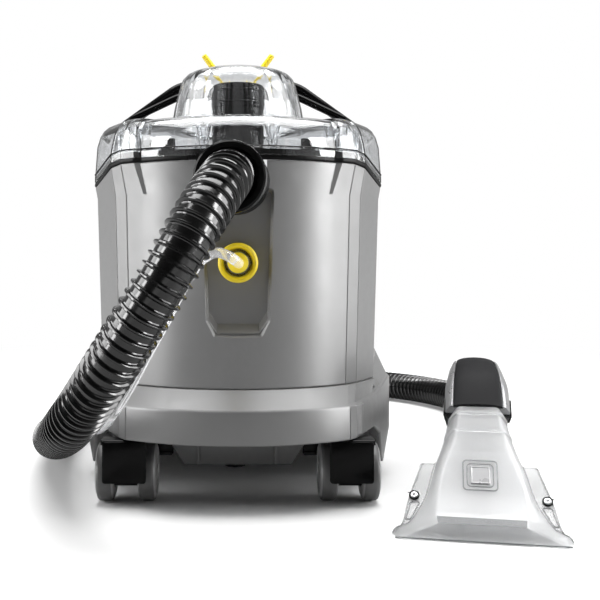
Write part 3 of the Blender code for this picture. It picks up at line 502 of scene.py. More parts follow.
STEEL = finish("steel_finish", (0.55, 0.55, 0.56), 0.28, mottle=0.08, grain=0.4, grain_scale=2400.0,
               metallic=1.0, round_edge=0.3)
BRASS = finish("brass_finish", (0.70, 0.50, 0.20), 0.28, mottle=0.08, metallic=1.0, round_edge=0.3)
WHEEL = finish("wheel_grey_finish", (0.36, 0.36, 0.36), 0.38, mottle=0.05, grain=0.3, round_edge=0.5,
               scuff=0.05)
TREAD = finish("wheel_tread_finish", (0.12, 0.12, 0.12), 0.4, mottle=0.3, grain=0.8, grain_scale=700.0)
HOSE = finish("hose_black_finish", (0.003, 0.003, 0.003), 0.17, mottle=0.3, grain=0.25, grain_scale=500.0,
              uneven=0.05, coat_weight=0.2, coat_roughness=0.06)
CLEAR = clear_finish("clear_plastic_finish", (0.93, 0.94, 0.95), 0.03)
NOZZLE = clear_finish("nozzle_clear_finish", (0.88, 0.885, 0.89), 0.30, ripple=0.35, clarity=0.88, shade=0.5)
PLATE = clear_finish("nozzle_plate_finish", (0.66, 0.665, 0.67), 0.22, ripple=0.35, clarity=0.93, shade=0.5)
# A darker clear tint for the nozzle's ridges, frames and fold band: painted shade standing in for the
# darkness that refraction gives the edges of clear plastic.
EDGE_SHADE = clear_finish("nozzle_edge_shade_tint", (0.34, 0.345, 0.35), 0.16, clarity=0.65, shade=0.5)
TUBE = clear_finish("tube_clear_finish", (0.93, 0.935, 0.94), 0.08, ior=1.40, clarity=0.75)
FINISH_OF_SLOT = {"casing_grey": GREY, "dark_grey": GREY_DARK, "black_plastic": BLACK, "black_rubber": RUBBER,
                  "clear_plastic": CLEAR, "yellow_plastic": YELLOW, "white_plastic": WHITE,
                  "silver_plastic": SILVER, "steel": STEEL, "brass": BRASS, "wheel_grey": WHEEL,
                  "hose_black": HOSE, "tube_clear": TUBE}


def dress_cad_nodes():
    """Gives every CAD node that stays visible its slot's procedural finish."""
    for part in frame["record"]["subparts"]:
        mesh = frame["nodes"][part["node"]].data
        mesh.materials.clear()
        mesh.materials.append(FINISH_OF_SLOT[part["material_slot"]])


# Cords: the routes are those of the CAD part.

HOSE_ROUTE = ((-9.5, -85, 298.5), (-17, -107, 285.5), (-29, -125, 265), (-42, -135, 241), (-57, -138, 214),
              (-75, -134, 186), (-93, -124, 158), (-109, -109, 135), (-125, -87, 113), (-141, -54, 94),
              (-157, -4, 78), (-175, 66, 62), (-194, 145, 47), (-209, 225, 35), (-218, 310, 27),
              (-221, 395, 24.2), (-217, 480, 24), (-205, 570, 24), (-182, 660, 24), (-139, 742, 24),
              (-72, 802, 24), (10, 832, 24), (96, 834, 24), (178, 812, 24), (248, 766, 24),
              (302, 702, 24), (333, 626, 24), (341, 550, 24), (336, 476, 24), (324, 412, 24),
              (307, 350, 24.4), (289, 293, 29))
TUBE_ROUTE = ((-7, -15, 235), (-18, -20, 239), (-30, -25, 234), (-41, -36, 220), (-51, -51, 201),
              (-62, -66, 178), (-76, -74, 152), (-90, -71, 126), (-105, -62, 103), (-119, -28, 87),
              (-132, 17, 78), (-147, 74, 71), (-161, 131, 60), (-176, 198, 41), (-186, 274, 24),
              (-195, 352, 11), (-197, 431, 5.8), (-191, 509, 5.4), (-179, 586, 5.4), (-158, 659, 5.8),
              (-127, 714, 7), (-95, 744, 15), (-62, 768, 32), (-36, 797, 49), (-9, 831, 54), (30, 856, 45),
              (73, 866, 27), (121, 856, 11), (183, 835, 6), (252, 793, 5.4), (311, 730, 5.4),
              (349, 653, 5.4), (364, 568, 5.4), (360, 485, 5.4), (347, 408, 5.6), (329, 338, 7),
              (314, 282, 15))
HANDLE_BACK = Vector((0, 254.0, 79.0))
PORT_ROOT = Vector((0, 12, PORT_Z))
PORT_TIP = Vector((-math.sin(math.radians(PORT_LEAN)), -math.cos(math.radians(PORT_LEAN)), 0))
CUFF_BACK = Vector((0, math.cos(math.radians(CUFF_SLOPE)), math.sin(math.radians(CUFF_SLOPE))))
TOOL_CUFF_END = HANDLE_BACK + CUFF_BACK * (CUFF_LENGTH + 0.4 + CORD_GAP)
PORT_CUFF_START, PORT_CUFF_END = 7.0, 61.5
RIB_PITCH = 8.7
RIB_PROFILE = ((0.0, 18.6), (0.36, 18.6), (0.43, 19.2), (0.48, 21.1), (0.54, 21.8), (0.66, 21.8),
               (0.72, 21.1), (0.77, 19.2), (0.84, 18.6))


def tool_to_machine(point):
    return MACHINE.inverted() @ (TOOL @ (Vector(point) * MM)) / MM


def hose_route():
    """The hose's centre line from the port's cuff to the tool's."""
    start = PORT_ROOT + PORT_TIP * (PORT_CUFF_END + CORD_GAP)
    return [start, start + PORT_TIP * 10, *HOSE_ROUTE, tool_to_machine(TOOL_CUFF_END + CUFF_BACK * 12),
            tool_to_machine(TOOL_CUFF_END)]


def tube_route():
    """The tube's centre line from its plug to the clips beside the tool's cuff."""
    plug_face = Vector((0, RECESS_Y - GAP - 35.5 - CORD_GAP, COUPLING_Z))
    side = TOOL_CUFF_END + Vector((HOSE_R + TUBE_OFFSET, 0, 0))
    return [plug_face, plug_face + Vector((0, -8, 0)), *TUBE_ROUTE, tool_to_machine(side + CUFF_BACK * 16),
            tool_to_machine(side + CUFF_BACK * 2)]


def stations(route, distances):
    """Position and direction at each distance along the route, with directions that turn evenly."""
    lengths = [0.0]
    for a, b in zip(route, route[1:]):
        lengths.append(lengths[-1] + (b - a).length)
    last = len(route) - 1
    tangents = [(route[min(i + 1, last)] - route[max(i - 1, 0)]).normalized() for i in range(last + 1)]
    found, at = [], 0
    for wanted in distances:
        while at < last - 1 and lengths[at + 1] < wanted:
            at += 1
        share = (wanted - lengths[at]) / (lengths[at + 1] - lengths[at])
        found.append((route[at].lerp(route[at + 1], share),
                      tangents[at].lerp(tangents[at + 1], share).normalized()))
    return found


def cord_mesh(name, route, profile, sides, finish_used):
    """A round cord through profile, a list of (distance along the route, radius)."""
    places = stations(route, [distance for distance, _ in profile])
    across = places[0][1].orthogonal().normalized()
    circle = [2 * math.pi * k / sides for k in range(sides)]
    rings = []
    for (centre, direction), (_, radius) in zip(places, profile):
        across = (across - direction * across.dot(direction)).normalized()
        up = direction.cross(across)
        rings.append([centre + (across * math.cos(a) + up * math.sin(a)) * radius for a in circle])
    return loft(name, rings, finish_used)


def make_hose():
    route = smooth_route(hose_route(), 3.0)
    length = route_length(route)
    ribs = int(length / RIB_PITCH)
    pitch = length / ribs
    profile = [((i + share) * pitch, radius) for i in range(ribs) for share, radius in RIB_PROFILE]
    profile.append((length, RIB_PROFILE[0][1]))
    hose = cord_mesh("ribbed_hose", route, profile, 40, HOSE)
    finished(hose, "root", "hose_black", "suction_hose")
    return hose, route, length


def make_tube():
    route = smooth_route(tube_route(), 3.0)
    length = route_length(route)
    steps = int(length / 6)
    profile = [(length * i / steps, TUBE_R) for i in range(steps + 1)]
    tube = cord_mesh("clear_tube", route, profile, 20, TUBE)
    finished(tube, "root", "tube_clear", "solution_tube")
    return tube, route, length


# Front casing.

FLARE_OUT, FLARE_Z, GROOVE = 4.0, 295.0, 1.1
WALL = 3.0


def tank_half(flare, groove):
    """Right half of the casing's outline; flare, 0 to 1, pushes its corners out, as under the seam."""
    centre, out = (0, TANK_FRONT_Y + TANK_ARC_R), FLARE_OUT * flare
    step = math.degrees(math.asin((86.5 + 6.5 * flare) / TANK_ARC_R))
    crease = math.degrees(math.asin(108.0 / TANK_ARC_R)) + 0.9 * flare
    front = arc(centre, TANK_ARC_R, -90, -90 + step, 22)
    corner_front = arc(centre, TANK_ARC_R + out, -90 + step + 1.5, -90 + crease, 6)
    edges = [Vector((120.3 + 0.8 * out, 73.4 - 0.5 * out)), Vector((TANK_SIDE_X + 0.3 * out, 112.0)),
             Vector((TANK_SIDE_X + 0.15 * out, 150.0))]
    back = arc((TANK_SIDE_X - TANK_CORNER_R, TANK_BACK_Y - TANK_CORNER_R), TANK_CORNER_R, 0, 90, 8)
    strip = len(front) + len(corner_front) - 1
    return notched(front + corner_front + edges + back, (strip, strip + 1), groove)


def tank_outline(flare=1.0, groove=0.0):
    return mirrored(tank_half(flare, groove))


def rim_z(p):
    """Height of the casing's rim, which falls from the front to the sides."""
    return RIM_FRONT_Z - (RIM_FRONT_Z - RIM_SIDE_Z) * ramp(p.y, 55, 128)


def rim_ring(distance, up, groove=0.0):
    outline = tank_outline(groove=groove)
    return [(q.x, q.y, rim_z(p) + up) for p, q in zip(outline, inset(outline, distance))]


def tank_ring(z, distance, groove=0.0):
    """A level ring of the casing's tapered body under the flare."""
    scale = TANK_FOOT_SCALE + (1 - TANK_FOOT_SCALE) * (z - TANK_FLOOR_Z) / (RIM_FRONT_Z - TANK_FLOOR_Z)
    return level([Vector((p.x * scale, p.y)) for p in inset(tank_outline(0.0, groove), distance)], z)


def recess_ring(extra, y, foot_rise=0.0):
    half = [(19.5 + extra, RECESS_FOOT - extra), (27.5 + extra, 177.0 - extra * 0.6),
            (31.6 + extra, RECESS_TOP - 3), (31.0 + extra, RECESS_TOP - 0.8 + extra * 0.8),
            (29.0 + extra, RECESS_TOP + extra)]
    return [(x, y, z + foot_rise if z < RECESS_TOP - 50 else z) for x, z in both_sides(half)]


def make_tank():
    rings = [tank_ring(TANK_FLOOR_Z, 1.0), tank_ring(TANK_FLOOR_Z + 1.2, 0, GROOVE),
             tank_ring(200, 0, GROOVE), tank_ring(FLARE_Z, 0, GROOVE), rim_ring(0, -0.6, GROOVE * 0.6),
             rim_ring(0.6, 0), rim_ring(WALL - 0.4, 0), rim_ring(WALL, -0.6), tank_ring(FLARE_Z, WALL),
             tank_ring(TANK_FLOOR_Z + WALL, WALL)]
    tank = loft("front_casing", rings, GREY, sharp=20)
    backing = loft("recess_backing", [recess_ring(WALL, y, rise) for y, rise in
                                      ((TANK_FRONT_Y + 6, 0), (RECESS_Y + WALL, 8))], None)
    join(tank, backing)
    space = loft("recess_space", [recess_ring(6.0, 10), recess_ring(6.0, 17.4), recess_ring(0, 26),
                                  recess_ring(0, RECESS_Y, 8)], None)
    cut(tank, space)
    slot = arc((0, PORT_Z), PORT_SLOT_R, 180, 360, 24)
    slot += [Vector((PORT_SLOT_R, 345.0)), Vector((-PORT_SLOT_R, 345.0))]
    cut(tank, loft("port_slot", [upright(slot, y) for y in (0, 47)], None))
    finished(tank, "root", "casing_grey", "tank_housing")


def make_port():
    """The flanged suction port and the hose's cuff over its nozzle."""
    path = [(0, 50, PORT_Z), (0, 20.4, PORT_Z), (0, 20.2, PORT_Z), (0, 19.3, PORT_Z), (0, 14.9, PORT_Z),
            (0, 14.2, PORT_Z), (0, 14.0, PORT_Z), PORT_ROOT, PORT_ROOT + PORT_TIP * 18,
            PORT_ROOT + PORT_TIP * 34]
    radii = [26.0, 26.0, 27.8, 28.4, 28.4, 27.8, PORT_R, PORT_R, PORT_R, PORT_R - 0.6]
    port = swept("port_pipe", path, radii, BLACK, sides=56, bore=PORT_BORE, sharp=25)
    finished(port, "root", "black_plastic", "suction_port")

    profile = [(PORT_CUFF_START, 28.0), (7.8, 29.0), (9.0, 29.4)]
    for k in range(7):
        s = 13 + k * 4.6
        profile += [(s, 29.3), (s + 0.6, 30.3), (s + 1.9, 30.3), (s + 2.5, 29.2)]
    profile += [(47.5, 29.0), (49.0, 28.6), (49.8, 31.0), (50.6, 31.6), (58.6, 31.6), (60.4, 31.2),
                (PORT_CUFF_END, 29.6)]
    sleeve = [PORT_ROOT + PORT_TIP * s for s, _ in profile]
    cuff = swept("hose_swivel_cuff", sleeve, [r for _, r in profile], BLACK, sides=64, bore=PORT_R + 0.4,
                 sharp=24)
    return finished(cuff, "root", "black_plastic", "hose_cuff")


def make_coupling():
    """The solution coupling in the recess: yellow body, clear release collar and the tube's plug."""
    at = place(0, RECESS_Y - GAP, COUPLING_Z, rx=90)
    body = [(12.8, 0), (18, 0), (18.4, 0.6), (18.4, 2.6), (17.6, 3.2), (15.6, 4.2), (15.2, 10), (15.6, 18.4),
            (17.6, 20.2), (18.3, 21.2), (18.4, 23.5), (18.2, 26.0), (17.4, 27.4), (16.2, 28.0), (14.9, 27.8),
            (14.0, 27.0), (13.2, 25.0), (12.8, 20)]
    finished(turned("coupling_ring", body, YELLOW, 64, closed=True, at=at), "root", "yellow_plastic",
             "coupling_body")
    collar = [(8.2, 6), (12.4, 6), (12.4, 25.8), (12.1, 26.6), (11.4, 27.2), (11.0, 29.2), (10.4, 30),
              (8.8, 30), (8.2, 29.4)]
    ring = turned("push_collar", collar, CLEAR, 56, closed=True, at=at)
    fins = [block("collar_fin", (11.2, -0.5, 18), (12.5, 0.5, 28.6), CLEAR, at=at @ place(rz=30 * k))
            for k in range(12)]
    merge(ring, *fins)
    finished(ring, "release_collar", "clear_plastic", "release_collar")
    plug = [(7.6, 0.3), (7.6, 30.2), (7.9, 30.7), (9.1, 31.2), (9.4, 31.8), (9.4, 34.0), (9.0, 34.6),
            (7.4, 34.8), (6.4, 35.4), (5.4, 35.5)]
    made = turned("tube_end_plug", plug, YELLOW, 48, at=at)
    return finished(made, "root", "yellow_plastic", "tube_plug")


# Base.

def base_half(front_y, radius, crease_x, sides, corner_r, back_y, groove=0.0):
    sweep = math.degrees(math.asin(crease_x / radius))
    front = arc((0, front_y + radius), radius, -90, -90 + sweep, 26)
    corner = arc((sides[-1][0] - corner_r, back_y - corner_r), corner_r, 0, 90, 14)
    return notched(front + [Vector(p) for p in sides] + corner, (len(front) - 1, len(front)), groove)


def base_outline(groove=0.0):
    sides = [(112.5, 43), (139, 112), (151, 143), (159, 165), (HALF_WIDTH, 184)]
    sides += [(HALF_WIDTH, y) for y in range(220, 461, 30)]
    return mirrored(base_half(0, BASE_ARC_R, BASE_CREASE_X, sides, 60, LENGTH, groove))


def deck_outline():
    sides = [(114.5, 72.5), (138, 112), (142, 143), (FENDER_X - 4, 165), (FENDER_X, 184)]
    sides += [(FENDER_X, y) for y in range(220, 461, 30)]
    return mirrored(base_half(TANK_FRONT_Y - 1, TANK_ARC_R, 105, sides, 46, LENGTH - 12))


def skirt_z(p):
    return BASE_FRONT_Z - (BASE_FRONT_Z - SKIRT_Z) * ramp(p.y, 125, 184) * (1 - 0.35 * ramp(p.y, 460, 520))


def tucked(outline, distance):
    """The outline moved inwards by distance, and further where the skirt's sides tuck under."""
    plain, under = inset(outline, distance), inset(outline, distance + 6.5)
    return [a.lerp(b, ramp(p.y, 125, 184) * (1 - ramp(p.y, 250, 320)))
            for p, a, b in zip(outline, plain, under)]


def knee_z(p):
    """Height at which the skirt's sides start to tuck under."""
    return max(skirt_z(p) + 3, 52)


def ledge_z(p):
    return LEDGE_Z + 12 * ramp(p.y, 120, 184)


def fender_z(p):
    return DECK_Z + (FENDER_Z - DECK_Z) * ramp(p.y, 143, 205) * (1 - ramp(p.y, 400, 500))


def make_base():
    outer, grooved, deck = base_outline(), base_outline(GROOVE), deck_outline()
    rings = [level(inset(deck, 5), DECK_Z - WALL), level(inset(outer, WALL), lambda p: ledge_z(p) - 4),
             level(inset(outer, WALL), knee_z), level(tucked(outer, WALL), lambda p: skirt_z(p) + 0.4),
             level(tucked(outer, WALL - 0.6), skirt_z), level(tucked(outer, 0.8), skirt_z),
             level(tucked(grooved, 0), lambda p: skirt_z(p) + 0.8), level(grooved, knee_z),
             level(grooved, lambda p: ledge_z(p) - 3.2),
             level(inset(outer, 0.5), lambda p: ledge_z(p) - 1.4),
             level(inset(outer, 1.5), lambda p: ledge_z(p) - 0.1),
             level(inset(outer, 3.0), lambda p: ledge_z(p) + 0.9), level(deck, lambda p: fender_z(p) - 0.6),
             level(inset(deck, 0.8), fender_z), level(inset(deck, 2.6), fender_z),
             level(inset(deck, 3.2), DECK_Z)]
    base = loft("wheeled_base", rings, GREY, sharp=18)
    arch = turned("wheel_arch", [(REAR_R + 9, -200), (REAR_R + 9, 200)], None, 72,
                  at=place(0, REAR_AXLE_Y, REAR_R, ry=90))
    cut(base, arch)
    extras = []
    for side in (-1, 1):
        extras.append(turned("caster_boss", [(5.4, 0), (12, 0), (13, 28), (5.4, 28)], GREY, 32, closed=True,
                             at=place(side * CASTER_X, CASTER_STEM_Y, 68)))
        bracket = slab("axle_bracket", [(380, 38), (420, 38), (432, 111.5), (368, 111.5)], side * 112,
                       side * 118, GREY)
        cut(bracket, turned("axle_bore", [(5.4, -125), (5.4, 125)], None, 24,
                            at=place(0, REAR_AXLE_Y, REAR_R, ry=90)))
        extras.append(bracket)
        lip = [(REAR_R + 7.4, -1.6), (REAR_R + 9.0, -1.6), (REAR_R + 9.0, 1.6), (REAR_R + 7.4, 1.6)]
        extras.append(arch_lip(side, lip))
    merge(base, *extras)
    finished(base, "root", "casing_grey", "base_housing")


def arch_lip(side, profile):
    """The rolled edge round a wheel arch, open below the skirt."""
    rings = []
    low = math.degrees(math.asin((SKIRT_Z + 1 - REAR_R) / (REAR_R + 8)))
    for k in range(41):
        a = math.radians(low + (180 - 2 * low) * k / 40)
        rings.append([(side * (HALF_WIDTH - 1.7) + x, REAR_AXLE_Y + r * math.cos(a), REAR_R + r * math.sin(a))
                      for r, x in profile])
    return loft("arch_lip", rings, GREY)


def six(x0, y0, x1, y1, xm, ym):
    """A symmetric outline of six points: its front, its back and its middle on the right."""
    return [Vector(p) for p in both_sides([(x0, y0), (xm, ym), (x1, y1)])]


def make_underside():
    flange = six(129, 106, 157, 300, 156, 184)
    rings = [level(six(54, 112, 54, 245, 54, 180), 25), level(six(55, 111, 55, 246, 55, 180), 26),
             level(six(79, 107, 72, 250, 79, 180), 66), level(flange, 66.2), level(flange, 69),
             level(six(75, 111, 69, 247, 75, 180), 69.2), level(six(52, 117, 52, 243, 52, 180), 30)]
    tray = loft("underside_tray", rings, GREY)
    # The ribs are given the silver finish as a painted highlight for their bright edges; merge() keeps only
    # the tray's grey slot, so they render grey.
    ribs = [block("tray_rib", (x - 1.3, 105.6, 27), (x + 1.3, 112, 65.5), SILVER, bevel=0.5)
            for x in (-40, 38)]
    merge(tray, *ribs)
    finished(tray, "root", "casing_grey", "underside_cover")
    strips = []
    for side in (-1, 1):
        low, high = sorted((side * 66, side * 96))
        strips.append(block("chassis_strip", (low, 113, 36), (high, 117, 66), BLACK, bevel=0.6))
        strips.append(block("chassis_rail", (low + 1, 111.6, 35), (high - 1, 116, 38.5), BLACK, bevel=0.6))
    merge(strips[0], *strips[1:])
    finished(strips[0], "root", "black_plastic")
    plug = turned("drain_knob", [(7, 0), (9.6, 0.2), (11, 1), (11, 5), (9, 5.7)], BLACK, 40,
                  at=place(-3, 128, 21))
    notches = [block("drain_notch", (9.4, -0.8, -1), (12, 0.8, 7), None, at=place(-3, 128, 21, rz=30 * k))
               for k in range(12)]
    cut(plug, *notches)
    finished(plug, "root", "black_plastic", "drain_plug")


# Lid, dome and what shows through them.

def shoulder(p):
    """1 at the lid's two front corners, where it bulges, and 0 elsewhere."""
    return ramp(abs(p.x), 92, 112) * (1 - ramp(p.y, 118, 150))


def lid_ring(base, out, out_corner, z, z_corner):
    plain, corner = inset(base, -out), inset(base, -out_corner)
    ring = []
    for here, a, b in zip(base, plain, corner):
        share = shoulder(here)
        q = a.lerp(b, share)
        low = z(here) if callable(z) else z
        high = z_corner(here) if callable(z_corner) else z_corner
        ring.append((q.x, q.y, low + (high - low) * share))
    return ring


def dome_circle(base, radius, z):
    ring = []
    for p in base:
        away = (p - Vector((0, DOME_Y))).normalized() * radius
        ring.append((away.x, DOME_Y + away.y, z))
    return ring


def over_rim(rise):
    return lambda p: rim_z(p) + rise


def cut_port_arch(target):
    """Cuts the round opening for the suction port into what passes over it."""
    cut(target, turned("port_arch", [(PORT_ARCH_R, -45), (PORT_ARCH_R, 45)], None, 72,
                       at=place(0, 5, PORT_Z, rx=90)))


def make_lid():
    base = tank_outline()
    outer = [(0.4, 0.4, over_rim(4.8), over_rim(4.8)), (0.8, 0.8, over_rim(5.4), over_rim(5.4)),
             (0.8, 0.8, over_rim(11.4), over_rim(11.4)), (0.2, 0.4, over_rim(12.2), over_rim(12.2)),
             (-0.6, 0.4, over_rim(12.6), over_rim(12.8)), (-1.0, 0.2, over_rim(14.5), over_rim(15.5)),
             (-3.2, -1.6, 347, 347), (-6.2, -4.6, 356, 357.5), (-9.4, -8.4, 361.5, 364.0),
             (-12.6, -13.0, 365.2, 368.0), (-16.0, -18.0, 367.6, 370.4), (-21.0, -24.0, 369.0, 371.2),
             (-27.0, -30.0, 369.5, 371.0)]
    inner = [(out - 2.4, corner - 2.4, z, high) for out, corner, z, high in outer[:6]]
    inner += [(-5.6, -4.0, 346.6, 346.6), (-8.4, -6.8, 355.1, 356.4), (-11.4, -10.6, 359.8, 362.2),
              (-14.2, -14.8, 363.0, 365.8), (-17.4, -19.4, 365.3, 368.0), (-22.0, -25.0, 366.6, 368.8),
              (-28.0, -31.0, 367.1, 368.6)]
    rings = [lid_ring(base, *spec) for spec in outer]
    rings += [dome_circle(base, 74.4, ROOF_Z - 0.2), dome_circle(base, 73.6, ROOF_Z),
              dome_circle(base, 62, ROOF_Z), dome_circle(base, 62, ROOF_Z - 2.4)]
    rings += [lid_ring(base, *spec) for spec in reversed(inner)]
    lid = loft("clear_lid", rings, CLEAR, closed=True, sharp=26)
    cut_port_arch(lid)
    merge(lid, *lid_details())
    finished(lid, "lid", "clear_plastic", "lid")

    seal = [(-0.2, 0.5), (-0.8, 1.2), (-0.9, 3.0), (-0.5, 4.2), (1.8, 4.4), (1.8, 10.8), (3.0, 10.8),
            (3.0, 0.4)]
    gasket = loft("rim_gasket", [rim_ring(out, up) for out, up in seal], RUBBER, closed=True, sharp=50)
    cut_port_arch(gasket)
    finished(gasket, "lid", "black_rubber", "lid_gasket")
    upper = loft("lid_seam", [rim_ring(out, up) for out, up in
                              ((-0.9, 12.4), (-1.3, 12.8), (-0.9, 13.6), (0.2, 13.8), (0.6, 12.6))],
                 RUBBER, closed=True, sharp=60)
    cut_port_arch(upper)
    finished(upper, "lid", "black_rubber")


def lid_details():
    """Ribs, screw posts and baffles moulded inside the lid, and its corner gussets."""
    made = []
    for x, y in ((-33, 62), (33, 62), (-92, 82), (92, 82), (-118, 150), (118, 150), (-112, 262), (112, 262)):
        made.append(turned("lid_post", [(4.2, 336), (5.2, 352), (8.5, 366.6), (6, 366.6), (3.0, 352),
                                        (2.4, 336)], CLEAR, 24, closed=True, at=place(x, y, 0)))
    for x0, x1 in ((-100, -50), (-44, -36), (36, 44), (50, 100)):
        y = 46 + 0.0035 * max(abs(x0), abs(x1))**2
        made.append(block("lid_baffle", (x0, y, 338), (x1, y + 1.8, 366.4), CLEAR))
    for k in range(-4, 5):
        if abs(k) > 1:
            made.append(block("lid_rib", (k * 24 - 0.9, 225, 350), (k * 24 + 0.9, 286, 366.4), CLEAR))
    for side in (-1, 1):
        for turn in (38, 52, 66):
            a = math.radians(turn)
            x, y = side * (84 + 34 * math.sin(a)), 100 - 34 * math.cos(a)
            made.append(block("corner_gusset", (-9, -0.8, 334), (9, 0.8, 362), CLEAR,
                              at=place(x, y, 0, rz=-side * (90 - turn) + 90)))
    return made


def make_latches():
    """Small black hooks that hold the lid's rim inside."""
    made = []
    for x in (-88, -66, 66, 88):
        y = TANK_FRONT_Y + TANK_ARC_R - math.sqrt(TANK_ARC_R**2 - x * x) + 10
        turn = math.degrees(math.asin(x / TANK_ARC_R))
        made.append(block("rim_latch", (-7, -1.5, 336), (7, 2.5, 347), BLACK, at=place(x, y, 0, rz=turn),
                          bevel=0.8))
    merge(made[0], *made[1:])
    finished(made[0], "lid", "black_plastic")


def make_lid_lugs():
    for side, name in ((-1, "lid_lug_left"), (1, "lid_lug_right")):
        outline = [(263, 369.9), (277, 369.9), (276.4, 384), (274, 388), (270, 389), (266, 388), (263.6, 384)]
        low, high = sorted((side * 118, side * 124.4))
        lug = slab("bail_lug", outline, low, high, BLACK, bevel=0.7)
        stub = turned("lug_stub", [(3, -1), (3, 9), (2.5, 9.6)], BLACK, 28,
                      at=place(side * 124, LID_BAIL_Y, LID_BAIL_Z, ry=side * 90))
        merge(lug, stub)
        finished(lug, "lid", "black_plastic", name)


def dome_ring(radius, z, wave, grow, fade):
    """A ring of the dome, fluted by wave, which grows in and fades out between the given radii."""
    depth = FLUTE_DEPTH * ramp(radius, *grow) * (1 - ramp(radius, *fade))
    angles = [2 * math.pi * k / DOME_STEPS for k in range(DOME_STEPS)]
    waved = [(a, radius - depth * wave(a)) for a in angles]
    return [(r * math.cos(a), DOME_Y + r * math.sin(a), z) for a, r in waved]


def make_dome():
    """The faceted clear dome, fluted faintly inside, with its foot ring."""
    outer = [(72, 371.3), (72.3, 372.2), (72, 374.2), (70.4, 375.2), (69.6, 375.9), (68.8, 380),
             (66.8, 392), (63.8, 404), (61.6, 412), (60.2, 417.5), (58.2, 422), (54.6, 425.8),
             (49.0, 428.6), (42, 430.6), (30, 433), (16, 435), (1.5, 436.3)]
    inner = [(69.5, 371.3), (67.8, 374.6), (66.2, 380), (64.4, 392), (61.4, 404), (59.2, 412), (57.6, 417),
             (55.6, 420.6), (52.2, 423.8), (47.4, 426.2), (41, 428.2), (30, 430.5), (16, 432.4), (1.5, 433.6)]
    rings = [dome_ring(radius, z, lambda a: max(0, math.cos(18 * a))**3, (30, 56), (66, 69))
             for radius, z in reversed(inner)]
    rings += [dome_ring(radius, z, lambda a: (1 - math.cos(12 * a)) / 2, (20, 50), (68, 71))
              for radius, z in outer]
    finished(loft("clear_dome", rings, CLEAR, sharp=40), "lid", "clear_plastic", "dome")
    ring = [(60.5, 371.4), (64.8, 371.4), (64.8, 375.0), (64.2, 375.6), (61.0, 375.6), (60.5, 375.0)]
    finished(turned("dome_foot_ring", ring, CLEAR, 96, closed=True, at=place(0, DOME_Y, 0)), "lid",
             "clear_plastic")


def make_riser():
    """The black elbow under the dome, with its rolled mouth and two raised bands."""
    bend = [(0, RISER_Y - RISER_BEND + p.x, PORT_Z + RISER_BEND + p.y)
            for p in arc((0, 0), RISER_BEND, -90, 0, 14)]
    upright = [(0, RISER_Y, z) for z in (345, 345.6, 350, 388, 388.6, 409.6, 411, 412)]
    path = [(0, 53, PORT_Z), *bend, *upright]
    radii = [25.0] * 17 + [26.6, 26.6, 26.6, 27.5, 27.5, 27.2, 26.4]
    riser = swept("air_riser", path, radii, BLACK, sides=56, bore=PORT_BORE, sharp=28)
    bands = [turned("riser_band", [(26.8, z), (28.1, z + 0.5), (28.1, z + 2.0), (26.8, z + 2.5)], BLACK, 56,
                    closed=True, at=place(0, RISER_Y, 0)) for z in (392, 404)]
    merge(riser, *bands)
    finished(riser, "dirty_tank", "black_plastic", "riser_duct")


# Bails and the cord hook.

def bail(name, path, eye_x, eye, finish_used, radius, at):
    bar = swept(name, path, radius, finish_used, sides=28, at=place(*at), sharp=40)
    inner, outer, width = eye
    half = width / 2
    profile = [(inner, -half), (outer - 0.7, -half), (outer, -half + 0.7), (outer, half - 0.7),
               (outer - 0.7, half), (inner, half)]
    eyes = [turned("bail_eye", profile, finish_used, 40, closed=True,
                   at=place(at[0] + side * eye_x, at[1], at[2], ry=90)) for side in (-1, 1)]
    merge(bar, *eyes)
    return bar


def bail_path(foot_x, elbow_z, top_x, top_z, start):
    """Half a bail's path in front view, mirrored, with rounded elbows."""
    corners = [(-foot_x, start), (-foot_x, elbow_z), (-foot_x + 2.5, elbow_z + 7),
               (-top_x - 7, top_z - 4.5), (-top_x + 4, top_z), (0, top_z)]
    half = rounded_path(corners, math.inf, 4)[:-1]
    return [(x, 0, z) for x, z in both_sides(half)]


def make_bails():
    path = bail_path(CARRY_PIVOT_X, 38.0, 70.0, CARRY_RISE, 7.6)
    carry = bail("carry_bail", path, CARRY_PIVOT_X, (4.4, 10.5, 9.0), BLACK, 6.0, (0, CARRY_Y, CARRY_PIVOT_Z))
    finished(carry, "carry_handle", "black_plastic", "carry_handle")
    path = bail_path(LID_BAIL_X, 9.0, 70.0, 44.0, 5.6)
    small = bail("lid_bail", path, LID_BAIL_X, (3.4, 7.5, 6.0), BLACK, 4.2, (0, LID_BAIL_Y, LID_BAIL_Z))
    finished(small, "lid_handle", "black_plastic", "lid_handle")
    for side, name in ((-1, "handle_pin_left"), (1, "handle_pin_right")):
        pin = turned("bail_pin", [(4, 0), (4, 28), (7.0, 28.3), (7.5, 28.8), (7.5, 30.2), (6.6, 31),
                                  (2.6, 31), (2.2, 30)], STEEL, 36,
                     at=place(side * 123, CARRY_Y, CARRY_PIVOT_Z, ry=side * 90))
        finished(pin, "root", "steel", name)


